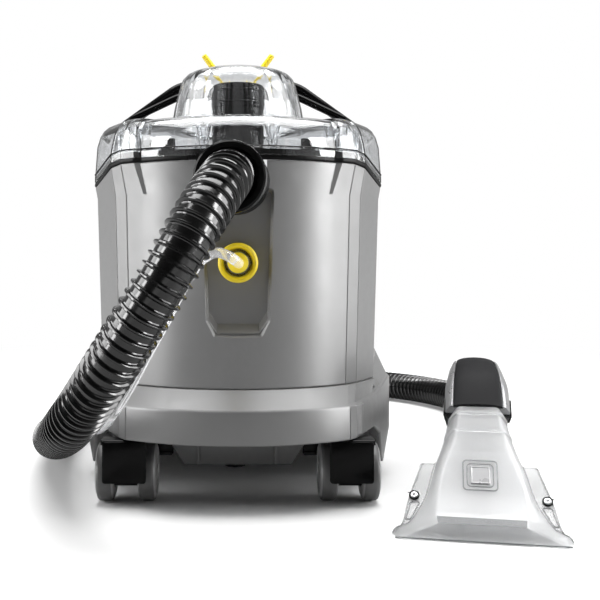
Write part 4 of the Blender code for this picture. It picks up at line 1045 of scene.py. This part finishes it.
def make_cord_hook():
    """A clip that turns on the carry handle's top bar, with two prongs."""
    top = CARRY_PIVOT_Z + CARRY_RISE
    shell = [(6.5, -22.6), (7.0, -23), (9.0, -23), (9.5, -22.4), (9.5, -16), (8.8, -15.2), (8.8, 15.2),
             (9.5, 16), (9.5, 22.4), (9.0, 23), (7.0, 23), (6.5, 22.6)]
    clip = turned("hook_clip", shell, YELLOW, 44, closed=True, at=place(0, CARRY_Y, top, ry=90), sharp=30)
    prongs = []
    for side in (-1, 1):
        path = smooth_route([(side * 19.5, 0, 6), (side * 22, 0, 11), (side * 26.5, 0, 17.5),
                             (side * 34, 0, 27.5), (side * 41.4, 0, 37.4)], 2.0)
        ends = [path[-1] + Vector((side * 0.6, 0, 0.8)), path[-1] + Vector((side * 0.95, 0, 1.3))]
        radii = [3.9 - 0.5 * i / len(path) for i in range(len(path))] + [2.8, 1.3]
        prongs.append(swept("hook_prong", path + ends, radii, YELLOW, 20, at=place(0, CARRY_Y, top)))
    merge(clip, *prongs)
    finished(clip, "cord_hook", "yellow_plastic", "cord_hook")


# Rear housing.

def rear_ring(side_x, back_y, corner_r, front_y, z, distance=0.0):
    corner = arc((side_x - corner_r, back_y - corner_r), corner_r, 0, 90, 16)
    half = [Vector((side_x - 5, front_y)), Vector((side_x - 1.5, front_y + 1.5)),
            Vector((side_x, front_y + 5)), Vector((side_x, (front_y + back_y) / 2))] + corner
    return level(inset(mirrored(half), distance), z)


def make_rear_housing():
    outer = [(143.4, 511.4, 40, 304, 113.4), (144, 512, 40, 304, 114.2), (143, 508, 40, 304, 200),
             (137, 486, 38, 304, 290), (132.4, 476.4, 36.4, 304.4, 317), (131, 474, 36, 305, 322),
             (128.4, 471, 35.6, 306.4, 326.4), (124.6, 466.8, 35, 309.4, 330.2), (120, 462, 34, 313, 332)]
    rings = [rear_ring(*spec) for spec in outer]
    shell = [rear_ring(x, y, r, front, z - (WALL if z > 300 else 0), WALL) for x, y, r, front, z in outer]
    housing = loft("motor_housing", list(reversed(shell)) + rings, GREY, sharp=22)
    ears = []
    for side in (-1, 1):
        low, high = sorted((side * 124, side * 139))
        outline = [(305, 300), (330, 300), (323, 350), *oval(CARRY_Y, 353.4, 9.6, 9.6, range(10, 171, 16)),
                   (302, 350)]
        ear = slab("handle_ear", outline, low, high, GREY)
        cut(ear, turned("pin_bore", [(4.4, -150), (4.4, 150)], None, 24,
                        at=place(0, CARRY_Y, CARRY_PIVOT_Z, ry=90)))
        ears.append(ear)
    cuts = []
    for k in range(3):
        z = 150 + 14 * k
        wall = 142.2 - 0.012 * (z - 114)
        section = [(360, z), (450, z), (450, z + 3), (360, z + 3)]
        cuts += [slab("side_groove", section, *ends, None) for ends in ((-200, -wall), (wall, 200))]
    cut(housing, *cuts)
    merge(housing, *ears)
    finished(housing, "root", "casing_grey", "rear_housing")
    make_back_panel()
    make_switches()


def make_back_panel():
    slope = math.degrees(math.atan2(508 - 486, 90))
    at = place(0, 497.6, 245, rx=slope)
    frame_ring = [(54, 32, 3.6), (54, 32, -0.4), (47, 25.4, -0.4), (47, 25.4, 2.2), (49, 27, 3.6)]
    rings = [upright(rounded(-w, -h, w, h, 5), y) for w, h, y in frame_ring]
    grille = loft("exhaust_frame", rings, BLACK, closed=True, at=at, sharp=25)
    vanes = [slab("vane", [(-0.2, z), (2.6, z - 2.6), (3.2, z - 2.0), (0.6, z + 1.0)], -47.4, 47.4, BLACK,
                  at=at) for z in range(-21, 26, 6)]
    posts = [block("grille_post", (x - 1.2, -0.3, -26), (x + 1.2, 1.6, 26), BLACK, at=at)
             for x in (-24, 0, 24)]
    merge(grille, *vanes, *posts)
    finished(grille, "root", "black_plastic", "exhaust_grille")
    inlet = [(13, 0), (13, 2.2), (12.2, 3), (10, 4)]
    inlet += [(9.6 - 0.16 * k + (0.7 if k % 2 else 0), 5 + 1.2 * k) for k in range(12)]
    inlet += [(7.4, 19.6), (6.6, 20), (4.4, 20), (4, 19.4), (4, 4)]
    finished(turned("cable_gland", inlet, BLACK, 44, at=place(72, 511.6, 158, rx=-90)), "root",
             "black_plastic", "cable_inlet")


def make_switches():
    outline = rounded(-58, 355, 58, 415, 8, 8)
    panel = loft("control_panel", [level(outline, 332.3), level(outline, 334.7),
                                   level(inset(outline, 0.6), 335.3)], BLACK)
    wells = [loft("switch_well", [level(rounded(x - 14.4, 370, x + 14.4, 400, 2), z) for z in (333.8, 340)],
                  None) for x in (-26, 26)]
    cut(panel, *wells)
    finished(panel, "root", "black_plastic", "switch_panel")
    profile = [(-14, 3.0), (0, 1.0), (14, 3.0), (14, 6.4), (13, 7.4), (7, 6.2), (0, 5.4), (-7, 6.2),
               (-13, 7.4), (-14, 6.4)]
    for x, name in ((-26, "suction_switch"), (26, "pump_switch")):
        rocker = slab("rocker", profile, -13, 13, GREY_DARK, at=place(x, 385, 335.4), bevel=0.7)
        finished(rocker, name, "dark_grey", name)


# Wheels.

def wheel_disc(name, body, node, at, tread_r, width, hub, face):
    """A wheel of two pieces: its grey disc and its dark tread."""
    half = width / 2
    disc = turned(name, hub, WHEEL, 56, closed=True, at=at, sharp=24)
    finished(disc, body, "wheel_grey", node)
    tread = turned(name + "_tread", [(tread_r - 3.2, -half + 2.6), (tread_r - 1.4, -half + 1.8),
                                     (tread_r - 0.2, -half + 3.6), (tread_r, -half + 5.2),
                                     (tread_r, half - 5.2), (tread_r - 0.2, half - 3.6),
                                     (tread_r - 1.4, half - 1.8), (tread_r - 3.2, half - 2.6)], TREAD, 72,
                   closed=True, at=at @ place(z=face))
    finished(tread, body, "wheel_grey")


def make_casters():
    axle_z, axle_y = CASTER_R, CASTER_STEM_Y + CASTER_TRAIL
    near, far = CASTER_WHEEL_IN, CASTER_WHEEL_OUT
    hub = [(4.4, 21.4), (15.5, 21.4), (15.5, near + 0.6), (16.1, near), (23.4, near), (25.4, near + 0.8),
           (27.2, near + 2.8), (27.9, near + 5), (27.9, far - 5.4), (27.2, far - 3.0), (25.4, far - 1.0),
           (23.6, far - 0.2), (21.6, far - 0.4), (20.8, far - 1.6), (12, far - 2.0), (10.4, far - 0.8),
           (7.6, far - 0.6), (4.4, far - 1.2)]
    for side, name in ((-1, "left"), (1, "right")):
        x = side * CASTER_X
        at = place(x, CASTER_STEM_Y, 0)
        web = [(-13, 61), (-12, 40), (-8, 24), (-3, 18.5), (4, 16.5), (24, 14), (31, 15.6), (36, 22),
               (36, 40), (34, 61)]
        fork = slab("caster_yoke", web, -10.8, 10.8, BLACK, at=at, bevel=1.0)
        hood = [(-17, 59), (-17, 62.6), (-15.8, 63.8), (27, 63.8), (30.4, 62), (33, 58), (33, 52),
                (31, 53.4), (25, 59)]
        cover = slab("caster_hood", hood, -22, 22, BLACK, at=at)
        plate = rounded(-20.5, 23, 20.5, 62, 2.4, 4)
        shield = loft("caster_shield", [upright(plate, y) for y in (-17.5, -14)], BLACK, at=at)
        cheek = [(-15, 60), (-15, 30), (-11.5, 24.2), (-11.5, 60)]
        rib = slab("caster_rib", cheek, -10, 10, BLACK, at=at)
        stem = turned("caster_stem", [(5.6, 62), (5.6, 67), (5, 67.5), (5, 92)], BLACK, 32, at=at)
        axle = turned("caster_axle", [(4, -27), (4, -21), (12.5, -21), (12.5, 21), (4, 21), (4, 27)], BLACK,
                      40, at=place(x, axle_y, axle_z, ry=90))
        merge(fork, cover, shield, rib, stem, axle)
        finished(fork, f"caster_{name}", "black_plastic", f"caster_fork_{name}")
        for face, which in ((side, "outer"), (-side, "inner")):
            wheel_disc(f"caster_{name}_{which}", f"caster_{name}_{which}_wheel",
                       f"caster_{name}_{which}_wheel", place(x, axle_y, axle_z, ry=90 * face), CASTER_R,
                       far - near, hub, (near + far) / 2)


def make_rear_wheels():
    half = REAR_WHEEL_W / 2
    hub = [(5.4, -half + 0.4), (11.4, -half), (12, -half + 0.6), (12, -half + 4), (36, -half + 4),
           (36, -half + 0.6), (36.6, -half), (43.0, -half), (45.2, -half + 1.2), (47.0, -half + 4.4),
           (47.2, -half + 6), (47.2, half - 6), (47.0, half - 4.4), (45.2, half - 1.2), (43.0, half),
           (36.6, half), (36, half - 0.6), (36, half - 4), (12, half - 4), (12, half - 0.6), (11.4, half),
           (5.4, half - 0.4)]
    for side, name in ((-1, "rear_wheel_left"), (1, "rear_wheel_right")):
        at = place(side * REAR_WHEEL_X, REAR_AXLE_Y, REAR_R, ry=90)
        wheel_disc(name + "_disc", name, name, at, REAR_R, REAR_WHEEL_W, hub, 0)
        spokes = [block("spoke", (11, -2.2, -half + 0.8), (37, 2.2, half - 0.8), WHEEL,
                        at=at @ place(rz=45 * k)) for k in range(8)]
        merge(spokes[0], *spokes[1:])
        finished(spokes[0], name, "wheel_grey")
        cap = turned(name + "_cap", [(1, 0), (6.4, 0), (7.6, -1.4), (7.6, -3), (1, -3)], BLACK, 36,
                     closed=True, at=place(side * 162.6, REAR_AXLE_Y, REAR_R, ry=side * 90))
        finished(cap, "root", "black_plastic")


# Hand tool, in its own frame: u across, v from the lip to the back, w up.

# Half-widths of the front shell and of its front panel, its front line (v, w), its back line (v, w), and
# the back plate's half-width.
NOZZLE_STATIONS = (
    (71.6, 70.0, (0.0, 0.0), (14.0, 0.0), 71.6),
    (69.2, 51.0, (1.6, 8.0), (17.0, 4.0), 68.6),
    (58.0, 37.0, (3.0, 14.0), (21.0, 8.0), 65.6),
    (53.5, 38.0, (12.0, 17.5), (26.0, 12.0), 64.2),
    (44.5, 38.5, (31.0, 35.0), (44.0, 24.0), 61.0),
    (38.2, 31.2, (51.0, 57.0), (65.0, 43.0), 53.0),
    (35.7, 28.7, (56.8, 63.2), (71.9, 48.6), 50.0),
    (35.0, 28.0, (58.4, 64.9), (73.8, 50.2), 36.8),
    (30.2, 23.2, (69.5, 77.0), (87.0, 61.0), 32.0),
    (24.2, 18.0, (90.0, 98.8), (110.0, 80.3), 25.5),
)

# Centre line of the handle (v, w), its slope in degrees, half-width, half-height and the grip's half-width.
HANDLE_STATIONS = (
    ((100.6, 90.2), 46.4, 29.0, 16.0, 22.0),
    ((121.0, 107.5), 40.0, 29.0, 17.5, 21.0),
    ((140.0, 115.5), 22.0, 26.8, 18.0, 19.0),
    ((163.0, 118.5), 0.0, 25.0, 18.0, 17.5),
    ((190.0, 114.0), -18.0, 23.5, 17.0, 17.0),
    ((215.0, 103.5), -28.0, 23.0, 16.5, 16.5),
    ((238.0, 89.5), -32.5, 24.0, 17.5, 16.5),
    ((254.0, 79.0), -33.5, 25.5, 20.0, 16.5),
)
SKIN = 2.2


def flat(station):
    """A station's numbers in one list, whatever their grouping."""
    return [n for item in station for n in (item if isinstance(item, tuple) else (item,))]


def between(stations_used, steps, straight=0):
    """Catmull-Rom stations between the given ones; the first straight spans stay straight."""
    rows = [flat(station) for station in stations_used]
    found = []
    for i in range(len(rows) - 1):
        b, c = rows[i], rows[i + 1]
        a = rows[i - 1] if i > straight else [2 * p - q for p, q in zip(b, c)]
        d = rows[i + 2] if i + 2 < len(rows) else [2 * q - p for p, q in zip(b, c)]
        if i < straight:
            a, d = [2 * p - q for p, q in zip(b, c)], [2 * q - p for p, q in zip(b, c)]
        found += [[catmull_rom(*four, k / steps) for four in zip(a, b, c, d)] for k in range(steps)]
    return found + [rows[-1]]


def depth_frame(row):
    """A station's back point, its direction towards the front line, and the distance between them."""
    front, back = Vector((0, row[2], row[3])), Vector((0, row[4], row[5]))
    return back, (front - back).normalized(), (front - back).length


def side_depth(row):
    """How far forward the side wall runs before it turns to the panel."""
    return depth_frame(row)[2] * (0.26 + 0.16 * ramp(row[3], 14, 50))


def nozzle_outside(row):
    """Right half of the shell's outside at a station, as (across, depth): bead, side and rounded panel."""
    half, panel, depth = row[0], row[1], depth_frame(row)[2]
    side = side_depth(row)
    bead = [(half + 1.6, 0.0), (half + 2.0, 0.4), (half + 2.0, 1.5), (half + 1.5, 2.0), (half + 0.4, 2.2)]
    return bead + rounded_path([(half, 2.5), (half, side), (panel, depth), (panel * 0.5, depth)], 5.0)


def nozzle_ring(row):
    """One closed ring of the front shell, outside and inside."""
    half, panel = row[0], row[1]
    back, towards, depth = depth_frame(row)
    side = side_depth(row)
    outer = nozzle_outside(row)
    inner = [(half - SKIN, 0.0)] + rounded_path([(half - SKIN, 0.4), (half - SKIN, side - 0.5),
                                                 (panel - 1.2, depth - SKIN),
                                                 (panel * 0.5, depth - SKIN)], 4.0)
    profile = both_sides(outer) + [(-x, y) for x, y in inner]
    profile += [(x, y) for x, y in reversed(inner)]
    return [tuple(back + towards * y + Vector((x, 0, 0))) for x, y in profile]


def fold_shade_band(rows):
    """A darker strip over the front panel where it folds down to the lip: painted shade for the fold's lower
    face.
    """
    rings = []
    for row in rows:
        back, towards, depth = depth_frame(row)
        half = row[1] - 1.5
        corners = ((-half, depth + 0.3), (half, depth + 0.3), (half, depth - 0.7), (-half, depth - 0.7))
        rings.append([tuple(back + towards * y + Vector((x, 0, 0))) for x, y in corners])
    return loft("fold_shade_band", rings, EDGE_SHADE, space=TOOL)


def wall_lines(rows):
    """Fine ridges where the nozzle's walls meet, along both sides and along the lip, darkened with painted
    edge shade.
    """
    made = []
    for side in (-1, 1):
        foot = []
        for row in rows[1:31]:
            back, towards, _ = depth_frame(row)
            foot.append(back + towards * 1.4 + Vector((side * (row[0] + 1.9), 0, 0)))
        made.append(swept("nozzle_wall_line", smooth_route(foot, 3.0), 0.75, EDGE_SHADE, 10, space=TOOL))
    lip = rows[0][0] - 1.0
    made.append(swept("nozzle_lip_line", [(x, 0.5, 0.9) for x in (-lip, -lip / 3, lip / 3, lip)], 0.75,
                      EDGE_SHADE, 10, space=TOOL))
    return made


def make_nozzle():
    rows = between(NOZZLE_STATIONS, 5, straight=3)
    shell = loft("nozzle_shell", [nozzle_ring(row) for row in rows], NOZZLE, space=TOOL, sharp=24)
    merge(shell, neck_ring(rows[-5], 0.9), neck_ring(rows[-2], 1.3))
    finished(shell, "root", "clear_plastic", "nozzle_front")
    frames = [panel_frame(14.8, 1.0, 0.9), panel_frame(11.4, 0.8, 0.7)]
    for line in [fold_shade_band(rows[10:16]), *wall_lines(rows), *frames]:
        finished(line, "root", "clear_plastic")
    badge = panel_plate(8.3, 8.6, 1.2)
    finished(badge, "root", "silver_plastic")
    plate = []
    for row in rows:
        back, towards, _ = depth_frame(row)
        wing = row[6]
        near, far = back - towards * GAP, back - towards * (GAP + 2.6)
        step = towards * 0.5
        plate.append([(-wing + 0.5, *near.yz), (wing - 0.5, *near.yz), (wing, *(near - step).yz),
                      (wing, *(far + step).yz), (wing - 0.5, *far.yz), (-wing + 0.5, *far.yz),
                      (-wing, *(far + step).yz), (-wing, *(near - step).yz)])
    back_plate = loft("nozzle_back_plate", plate, PLATE, space=TOOL, sharp=35)
    for detail in wing_details(rows):
        finished(detail, "root", "clear_plastic")
    finished(back_plate, "root", "clear_plastic", "nozzle_back")
    for side, name in ((-1, "nozzle_screw_left"), (1, "nozzle_screw_right")):
        at = place(side * 56.0, 45.5, 25.4, rx=42.1)
        head = turned("wing_screw", [(2.0, -6), (2.0, 0.4), (3.5, 0.6), (3.5, 1.4), (3.0, 2.1), (2.2, 2.4),
                                     (1.5, 2.3), (1.3, 0.9), (0.4, 0.7)], STEEL, 36, at=at, space=TOOL)
        finished(head, "root", "steel", name)
        rim = turned("screw_recess", [(3.7, 0.4), (3.8, 1.9), (4.0, 2.3), (4.4, 2.2), (4.6, 0.4)], BLACK,
                     40, closed=True, at=at, space=TOOL)
        finished(rim, "root", "black_plastic")


def panel_point(u, v, out):
    """A point of the front panel by its badge: u across, v up the slope and out in front of it."""
    low, high = Vector((0, *NOZZLE_STATIONS[4][2])), Vector((0, *NOZZLE_STATIONS[5][2]))
    along = (high - low).normalized()
    return tuple(low.lerp(high, 0.53) + along * v + Vector((u, -along.z * out, along.y * out)))


def panel_ring(half_u, half_v, move, height, corner_r, steps):
    """A rounded rectangle on the front panel, moved inwards by move and raised to height."""
    outline = rounded(-half_u + move, -half_v + move, half_u - move, half_v - move, corner_r, steps)
    return [panel_point(p.x, p.y, height) for p in outline]


def panel_frame(half, width, out):
    """A raised square frame with round corners on the front panel, darkened with painted edge shade."""
    rise = ((0, -0.4), (0, out - 0.4), (0.4, out), (width - 0.4, out), (width, out - 0.4), (width, -0.4))
    rings = [panel_ring(half, half, move, height, 3.6 - move, 4) for move, height in rise]
    return loft("panel_frame", rings, EDGE_SHADE, closed=True, space=TOOL)


def panel_plate(half_u, half_v, out):
    """The blank square badge in the middle of the frame."""
    rise = ((0, -0.4), (0, out - 0.5), (0.5, out), (1.2, out), (1.5, out - 0.35), (3.0, out - 0.35))
    rings = [panel_ring(half_u, half_v, move, height, 0.9, 3) for move, height in rise]
    return loft("blank_badge", rings, SILVER, space=TOOL)


def neck_ring(row, out):
    """A raised band round the front of the neck."""
    back, towards, depth = depth_frame(row)
    axis = Vector((0, towards.z, -towards.y))
    half = nozzle_outside(row)[5:]
    outline = both_sides(half)
    rings = []
    for shift, grow in ((-1.8, -0.5), (-1.5, out - 0.3), (-1.1, out), (1.1, out), (1.5, out - 0.3),
                        (1.8, -0.5)):
        ring = []
        for x, y in outline:
            away = Vector((x, y - depth * 0.4)).normalized()
            ring.append(tuple(back + towards * (y + away.y * grow) + axis * shift
                              + Vector((x + away.x * grow, 0, 0))))
        rings.append(ring)
    return loft("neck_ring", rings, NOZZLE, space=TOOL)


def wing_details(rows):
    """Raised edges, a split line and a leaf-shaped field on each wing of the back plate, all darkened with
    painted edge shade.
    """
    made = []
    for side in (-1, 1):
        edge = []
        for row in rows[2:31]:
            back, towards, _ = depth_frame(row)
            near = back - towards * (GAP + 0.2)
            edge.append([(side * (row[6] - x), *(near + towards * y).yz)
                         for x, y in ((1.6, 0), (1.6, 1.0), (0.2, 1.0), (0.2, 0))])
        made.append(loft("wing_edge", edge, EDGE_SHADE, space=TOOL))
        out, back_down = [], []
        for row in rows[13:20]:
            back, towards, _ = depth_frame(row)
            near = back - towards * GAP + towards * 0.5
            gap = (row[6] - row[0] - 2.0) * 0.24
            out.append(near + Vector((side * (row[0] + 2.0 + gap), 0, 0)))
            back_down.append(near + Vector((side * (row[6] - gap), 0, 0)))
        leaf = out + list(reversed(back_down)) + out[:1]
        made.append(swept("wing_leaf", smooth_route(leaf, 1.5), 0.55, EDGE_SHADE, 8, space=TOOL))
        row = rows[21]
        back, towards, _ = depth_frame(row)
        near = back - towards * GAP
        made.append(swept("wing_split", [near + Vector((side * x, 0, 0)) for x in (61.5, row[6] - 0.4)],
                          0.5, EDGE_SHADE, 8, space=TOOL))
    return made


def handle_rings(rows, section):
    rings = []
    for v, w, slope, half, height, grip in rows:
        up = Vector((0, -math.sin(math.radians(slope)), math.cos(math.radians(slope))))
        middle = Vector((0, v, w))
        rings.append([tuple(middle + Vector((a, 0, 0)) + up * b) for a, b in section(half, height, grip)])
    return rings


def handle_section(half, height, grip):
    corners = [(half * 0.3, -height), (half * 0.62, -height), (half * 0.92, -height * 0.72),
               (half, -height * 0.2), (half, height * 0.25), (grip + 3.0, height * 0.74),
               (grip + 0.4, height - 3.0), (grip + 0.4, height - 6.0)]
    return both_sides(rounded_path(corners, 3.0))


def grip_section(_, height, grip):
    corners = [(grip, height - 5.6), (grip, height - 3.2), (grip * 0.86, height - 1.8),
               (grip * 0.6, height - 0.5), (grip * 0.3, height + 0.1), (0.5, height + 0.3)]
    return both_sides(rounded_path(corners, 1.6))


def collar_section(half, height, _):
    return both_sides([(half * 0.6, -height - 2.0), (half * 0.96 + 1.6, -height * 0.76),
                       (half + 1.8, -height * 0.2), (half + 1.4, height * 0.12)])


def make_handle():
    rows = between(HANDLE_STATIONS, 5)
    shell = loft("handle_shell", handle_rings(rows, handle_section), SILVER, space=TOOL, sharp=30)
    lugs = []
    for side in (-1, 1):
        low, high = sorted((side * 13, side * 18))
        outline = [(144, 102), (144, 90), *oval(*TRIGGER_PIVOT, 8, 6, range(180, 361, 20)), (160, 102)]
        lugs.append(slab("trigger_lug", outline, low, high, SILVER, space=TOOL))
    merge(shell, *lugs)
    finished(shell, "root", "silver_plastic", "tool_handle")
    grip = loft("grip_pad", handle_rings(rows, grip_section), GREY_DARK, space=TOOL, sharp=30)
    finished(grip, "root", "dark_grey", "grip_insert")
    collar = loft("neck_collar", handle_rings(rows[:4], collar_section), BLACK, space=TOOL, bevel=0.6)
    finished(collar, "root", "black_plastic")
    make_trigger()
    make_tool_cuff()


def make_trigger():
    profile = [(-8, -6), (0, -9), (14, -13), (27, -17.2), (40, -22), (52, -27), (62, -31), (66, -30.8),
               (68, -29), (67.6, -26), (66, -24), (54, -16.2), (40, -9), (26, -5.2), (20, -5), (14, 0.2),
               (8, 5.5), (0, 8), (-7, 6)]
    rings = [[(u, v, w) for v, w in profile] for u in (-12.5, -12.1, 12.1, 12.5)]
    centre = Vector((0, 14, -6))
    for i in (0, 3):
        rings[i] = [tuple(Vector(p).lerp(Vector((p[0], centre.y, centre.z)), 0.02)) for p in rings[i]]
    lever = loft("trigger_bar", rings, BLACK, at=place(0, *TRIGGER_PIVOT), space=TOOL, sharp=30)
    cut(lever, turned("trigger_bore", [(2.9, -30), (2.9, 30)], None, 32, at=place(0, *TRIGGER_PIVOT, ry=90),
                      space=TOOL))
    finished(lever, "trigger_lever", "black_plastic", "trigger_lever")


def make_tool_cuff():
    at = place(*(HANDLE_BACK + CUFF_BACK * 0.4), rx=-90 + CUFF_SLOPE)
    profile = [(20, 0), (27.2, 0), (27.5, 0.4), (27.5, 5.4), (26.8, 6.6), (26, 7.4)]
    for k in range(6):
        z = 9.5 + 4.4 * k
        profile += [(26, z), (26.9, z + 0.6), (26.9, z + 1.8), (26, z + 2.4)]
    profile += [(26, CUFF_LENGTH - 5), (27.6, CUFF_LENGTH - 4), (28, CUFF_LENGTH - 3.4),
                (28, CUFF_LENGTH - 0.6), (27.4, CUFF_LENGTH), (20, CUFF_LENGTH)]
    cuff = turned("tool_hose_cuff", profile, BLACK, 56, at=at, space=TOOL, sharp=25)
    clips = [turned("tube_clip", [(5.0, z), (7.0, z), (7.0, z + 5), (5.0, z + 5)], BLACK, 28, closed=True,
                    at=at @ place(HOSE_R + TUBE_OFFSET, 0, 0), space=TOOL) for z in (12, 34)]
    arms = [block("clip_arm", (25, -2.2, z), (HOSE_R + 5.4, 2.2, z + 5), BLACK, at=at, space=TOOL)
            for z in (12, 34)]
    merge(cuff, *clips, *arms)
    finished(cuff, "root", "black_plastic", "tool_cuff")
    jet = turned("jet_body", [(2.4, 1.2), (3.1, 0), (3.7, 0.4), (6, 4), (6, 8), (5.2, 8.6), (5.2, 10),
                              (6, 10.6), (6, 16), (4.5, 17)], BLACK, 32, at=place(0, 124, 63.5, rx=8),
                 space=TOOL)
    finished(jet, "root", "black_plastic", "spray_jet")


# Studio.

PURE_WHITE = (1.0, 1.0, 1.0, 1.0)


def softbox(name, where, aim, width, height, watts, diffuse=True):
    """A rectangular lamp; without diffuse it shows only as highlights."""
    data = bpy.data.lights.new(name, "AREA")
    data.shape = "RECTANGLE"
    data.size, data.size_y = width, height
    data.energy = watts
    light = add_object(name, data)
    light.location = where
    light.rotation_euler = (Vector(aim) - Vector(where)).to_track_quat("-Z", "Y").to_euler()
    light.visible_diffuse = diffuse


def floor_finish():
    """Pale matt floor that turns as bright as the white backdrop away from the object."""
    made, tree, shader = new_material("pale_floor")
    shader.inputs["Roughness"].default_value = 0.55
    shader.inputs["Specular IOR Level"].default_value = 0.2
    tone = two_tones(tree, spread(tree, noise(tree, 6.0, 4.0), 0.0, 1.0), (0.83, 0.83, 0.83),
                     (0.86, 0.86, 0.86))
    bounced = add_node(tree, "Mix", data_type="RGBA")
    bounced.inputs[6].default_value = (0.42, 0.42, 0.42, 1.0)
    path = add_node(tree, "LightPath")
    tree.links.new(path.outputs["Is Camera Ray"], bounced.inputs[0])
    tree.links.new(tone, bounced.inputs[7])
    tree.links.new(bounced.outputs[2], shader.inputs["Base Color"])
    glow = add_node(tree, "Emission", {"Color": PURE_WHITE, "Strength": 1.0})
    where = add_node(tree, "TexCoord")
    reach = add_node(tree, "VectorMath", operation="LENGTH")
    tree.links.new(where.outputs["Object"], reach.inputs[0])
    far = add_node(tree, "MapRange", {"From Min": 0.75, "From Max": 1.7}, interpolation_type="SMOOTHSTEP")
    tree.links.new(reach.outputs["Value"], far.inputs["Value"])
    mixed = mixed_shader(tree, far.outputs["Result"], shader.outputs[0], glow.outputs[0])
    tree.links.new(mixed, tree.nodes["Material Output"].inputs["Surface"])
    return made


def make_floor():
    """A plain pale floor, far wider than any view of it."""
    size, cells = 9.0, 24
    points = [(size * (2 * i / cells - 1), size * (2 * j / cells - 1), -0.0005) for j in range(cells + 1)
              for i in range(cells + 1)]
    faces = [(j * (cells + 1) + i, j * (cells + 1) + i + 1, (j + 1) * (cells + 1) + i + 1,
              (j + 1) * (cells + 1) + i) for j in range(cells) for i in range(cells)]
    mesh = bpy.data.meshes.new("studio_floor")
    mesh.from_pydata(points, [], faces)
    mesh.materials.append(floor_finish())
    add_object("studio_floor", mesh)


def make_studio():
    world = bpy.data.worlds.new("studio")
    bpy.context.scene.world = world
    world.use_nodes = True
    tree = world.node_tree
    seen = tree.nodes["Background"]
    seen.inputs["Color"].default_value = PURE_WHITE
    seen.inputs["Strength"].default_value = 1.0
    where = add_node(tree, "TexCoord")
    parts = add_node(tree, "SeparateXYZ")
    tree.links.new(where.outputs["Generated"], parts.inputs[0])
    fill = add_node(tree, "Background", {"Color": PURE_WHITE})
    darker_in_front = add_node(tree, "MapRange", {"From Min": -1.0, "From Max": 0.3, "To Min": 0.03,
                                                  "To Max": 0.35})
    tree.links.new(parts.outputs["Y"], darker_in_front.inputs["Value"])
    tree.links.new(darker_in_front.outputs["Result"], fill.inputs["Strength"])
    through = add_node(tree, "Background", {"Color": PURE_WHITE})
    turn = add_node(tree, "Math", operation="ARCTAN2")
    tree.links.new(parts.outputs["Y"], turn.inputs[0])
    tree.links.new(parts.outputs["X"], turn.inputs[1])
    eight_times = add_node(tree, "Math", {1: 8.0}, operation="MULTIPLY")
    tree.links.new(turn.outputs[0], eight_times.inputs[0])
    panels = add_node(tree, "Math", operation="COSINE")
    tree.links.new(eight_times.outputs[0], panels.inputs[0])
    panel_light = add_node(tree, "MapRange", {"From Min": -0.6, "From Max": 0.5, "To Min": 0.08,
                                              "To Max": 0.95})
    tree.links.new(panels.outputs[0], panel_light.inputs["Value"])
    tree.links.new(panel_light.outputs["Result"], through.inputs["Strength"])
    path = add_node(tree, "LightPath")
    mixed = mixed_shader(tree, path.outputs["Is Transmission Ray"], fill.outputs[0], through.outputs[0])
    mixed = mixed_shader(tree, path.outputs["Is Camera Ray"], mixed, seen.outputs[0])
    tree.links.new(mixed, tree.nodes["World Output"].inputs["Surface"])
    softbox("top_light", (0.0, 0.05, 2.2), (0.0, 0.0, 0.1), 2.4, 1.6, 90)
    softbox("left_light", (-1.9, -0.15, 0.75), (0.0, 0.0, 0.25), 1.0, 1.7, 34)
    softbox("right_light", (1.9, -0.15, 0.75), (0.0, 0.0, 0.25), 1.0, 1.7, 40)
    softbox("left_gloss", (-1.6, -0.85, 0.7), (0.0, 0.0, 0.25), 0.4, 1.7, 31, diffuse=False)
    softbox("right_gloss", (1.6, -0.85, 0.7), (0.0, 0.0, 0.25), 0.4, 1.7, 42, diffuse=False)
    bpy.context.scene.view_settings.view_transform = "Standard"


make_camera()
dress_cad_nodes()
cords = make_hose(), make_tube()
port_cuff = make_port()
tube_plug = make_coupling()
make_tank()
make_base()
make_underside()
make_lid()
make_latches()
make_lid_lugs()
make_dome()
make_riser()
make_bails()
make_cord_hook()
make_rear_housing()
make_casters()
make_rear_wheels()
make_nozzle()
make_handle()
make_floor()
make_studio()
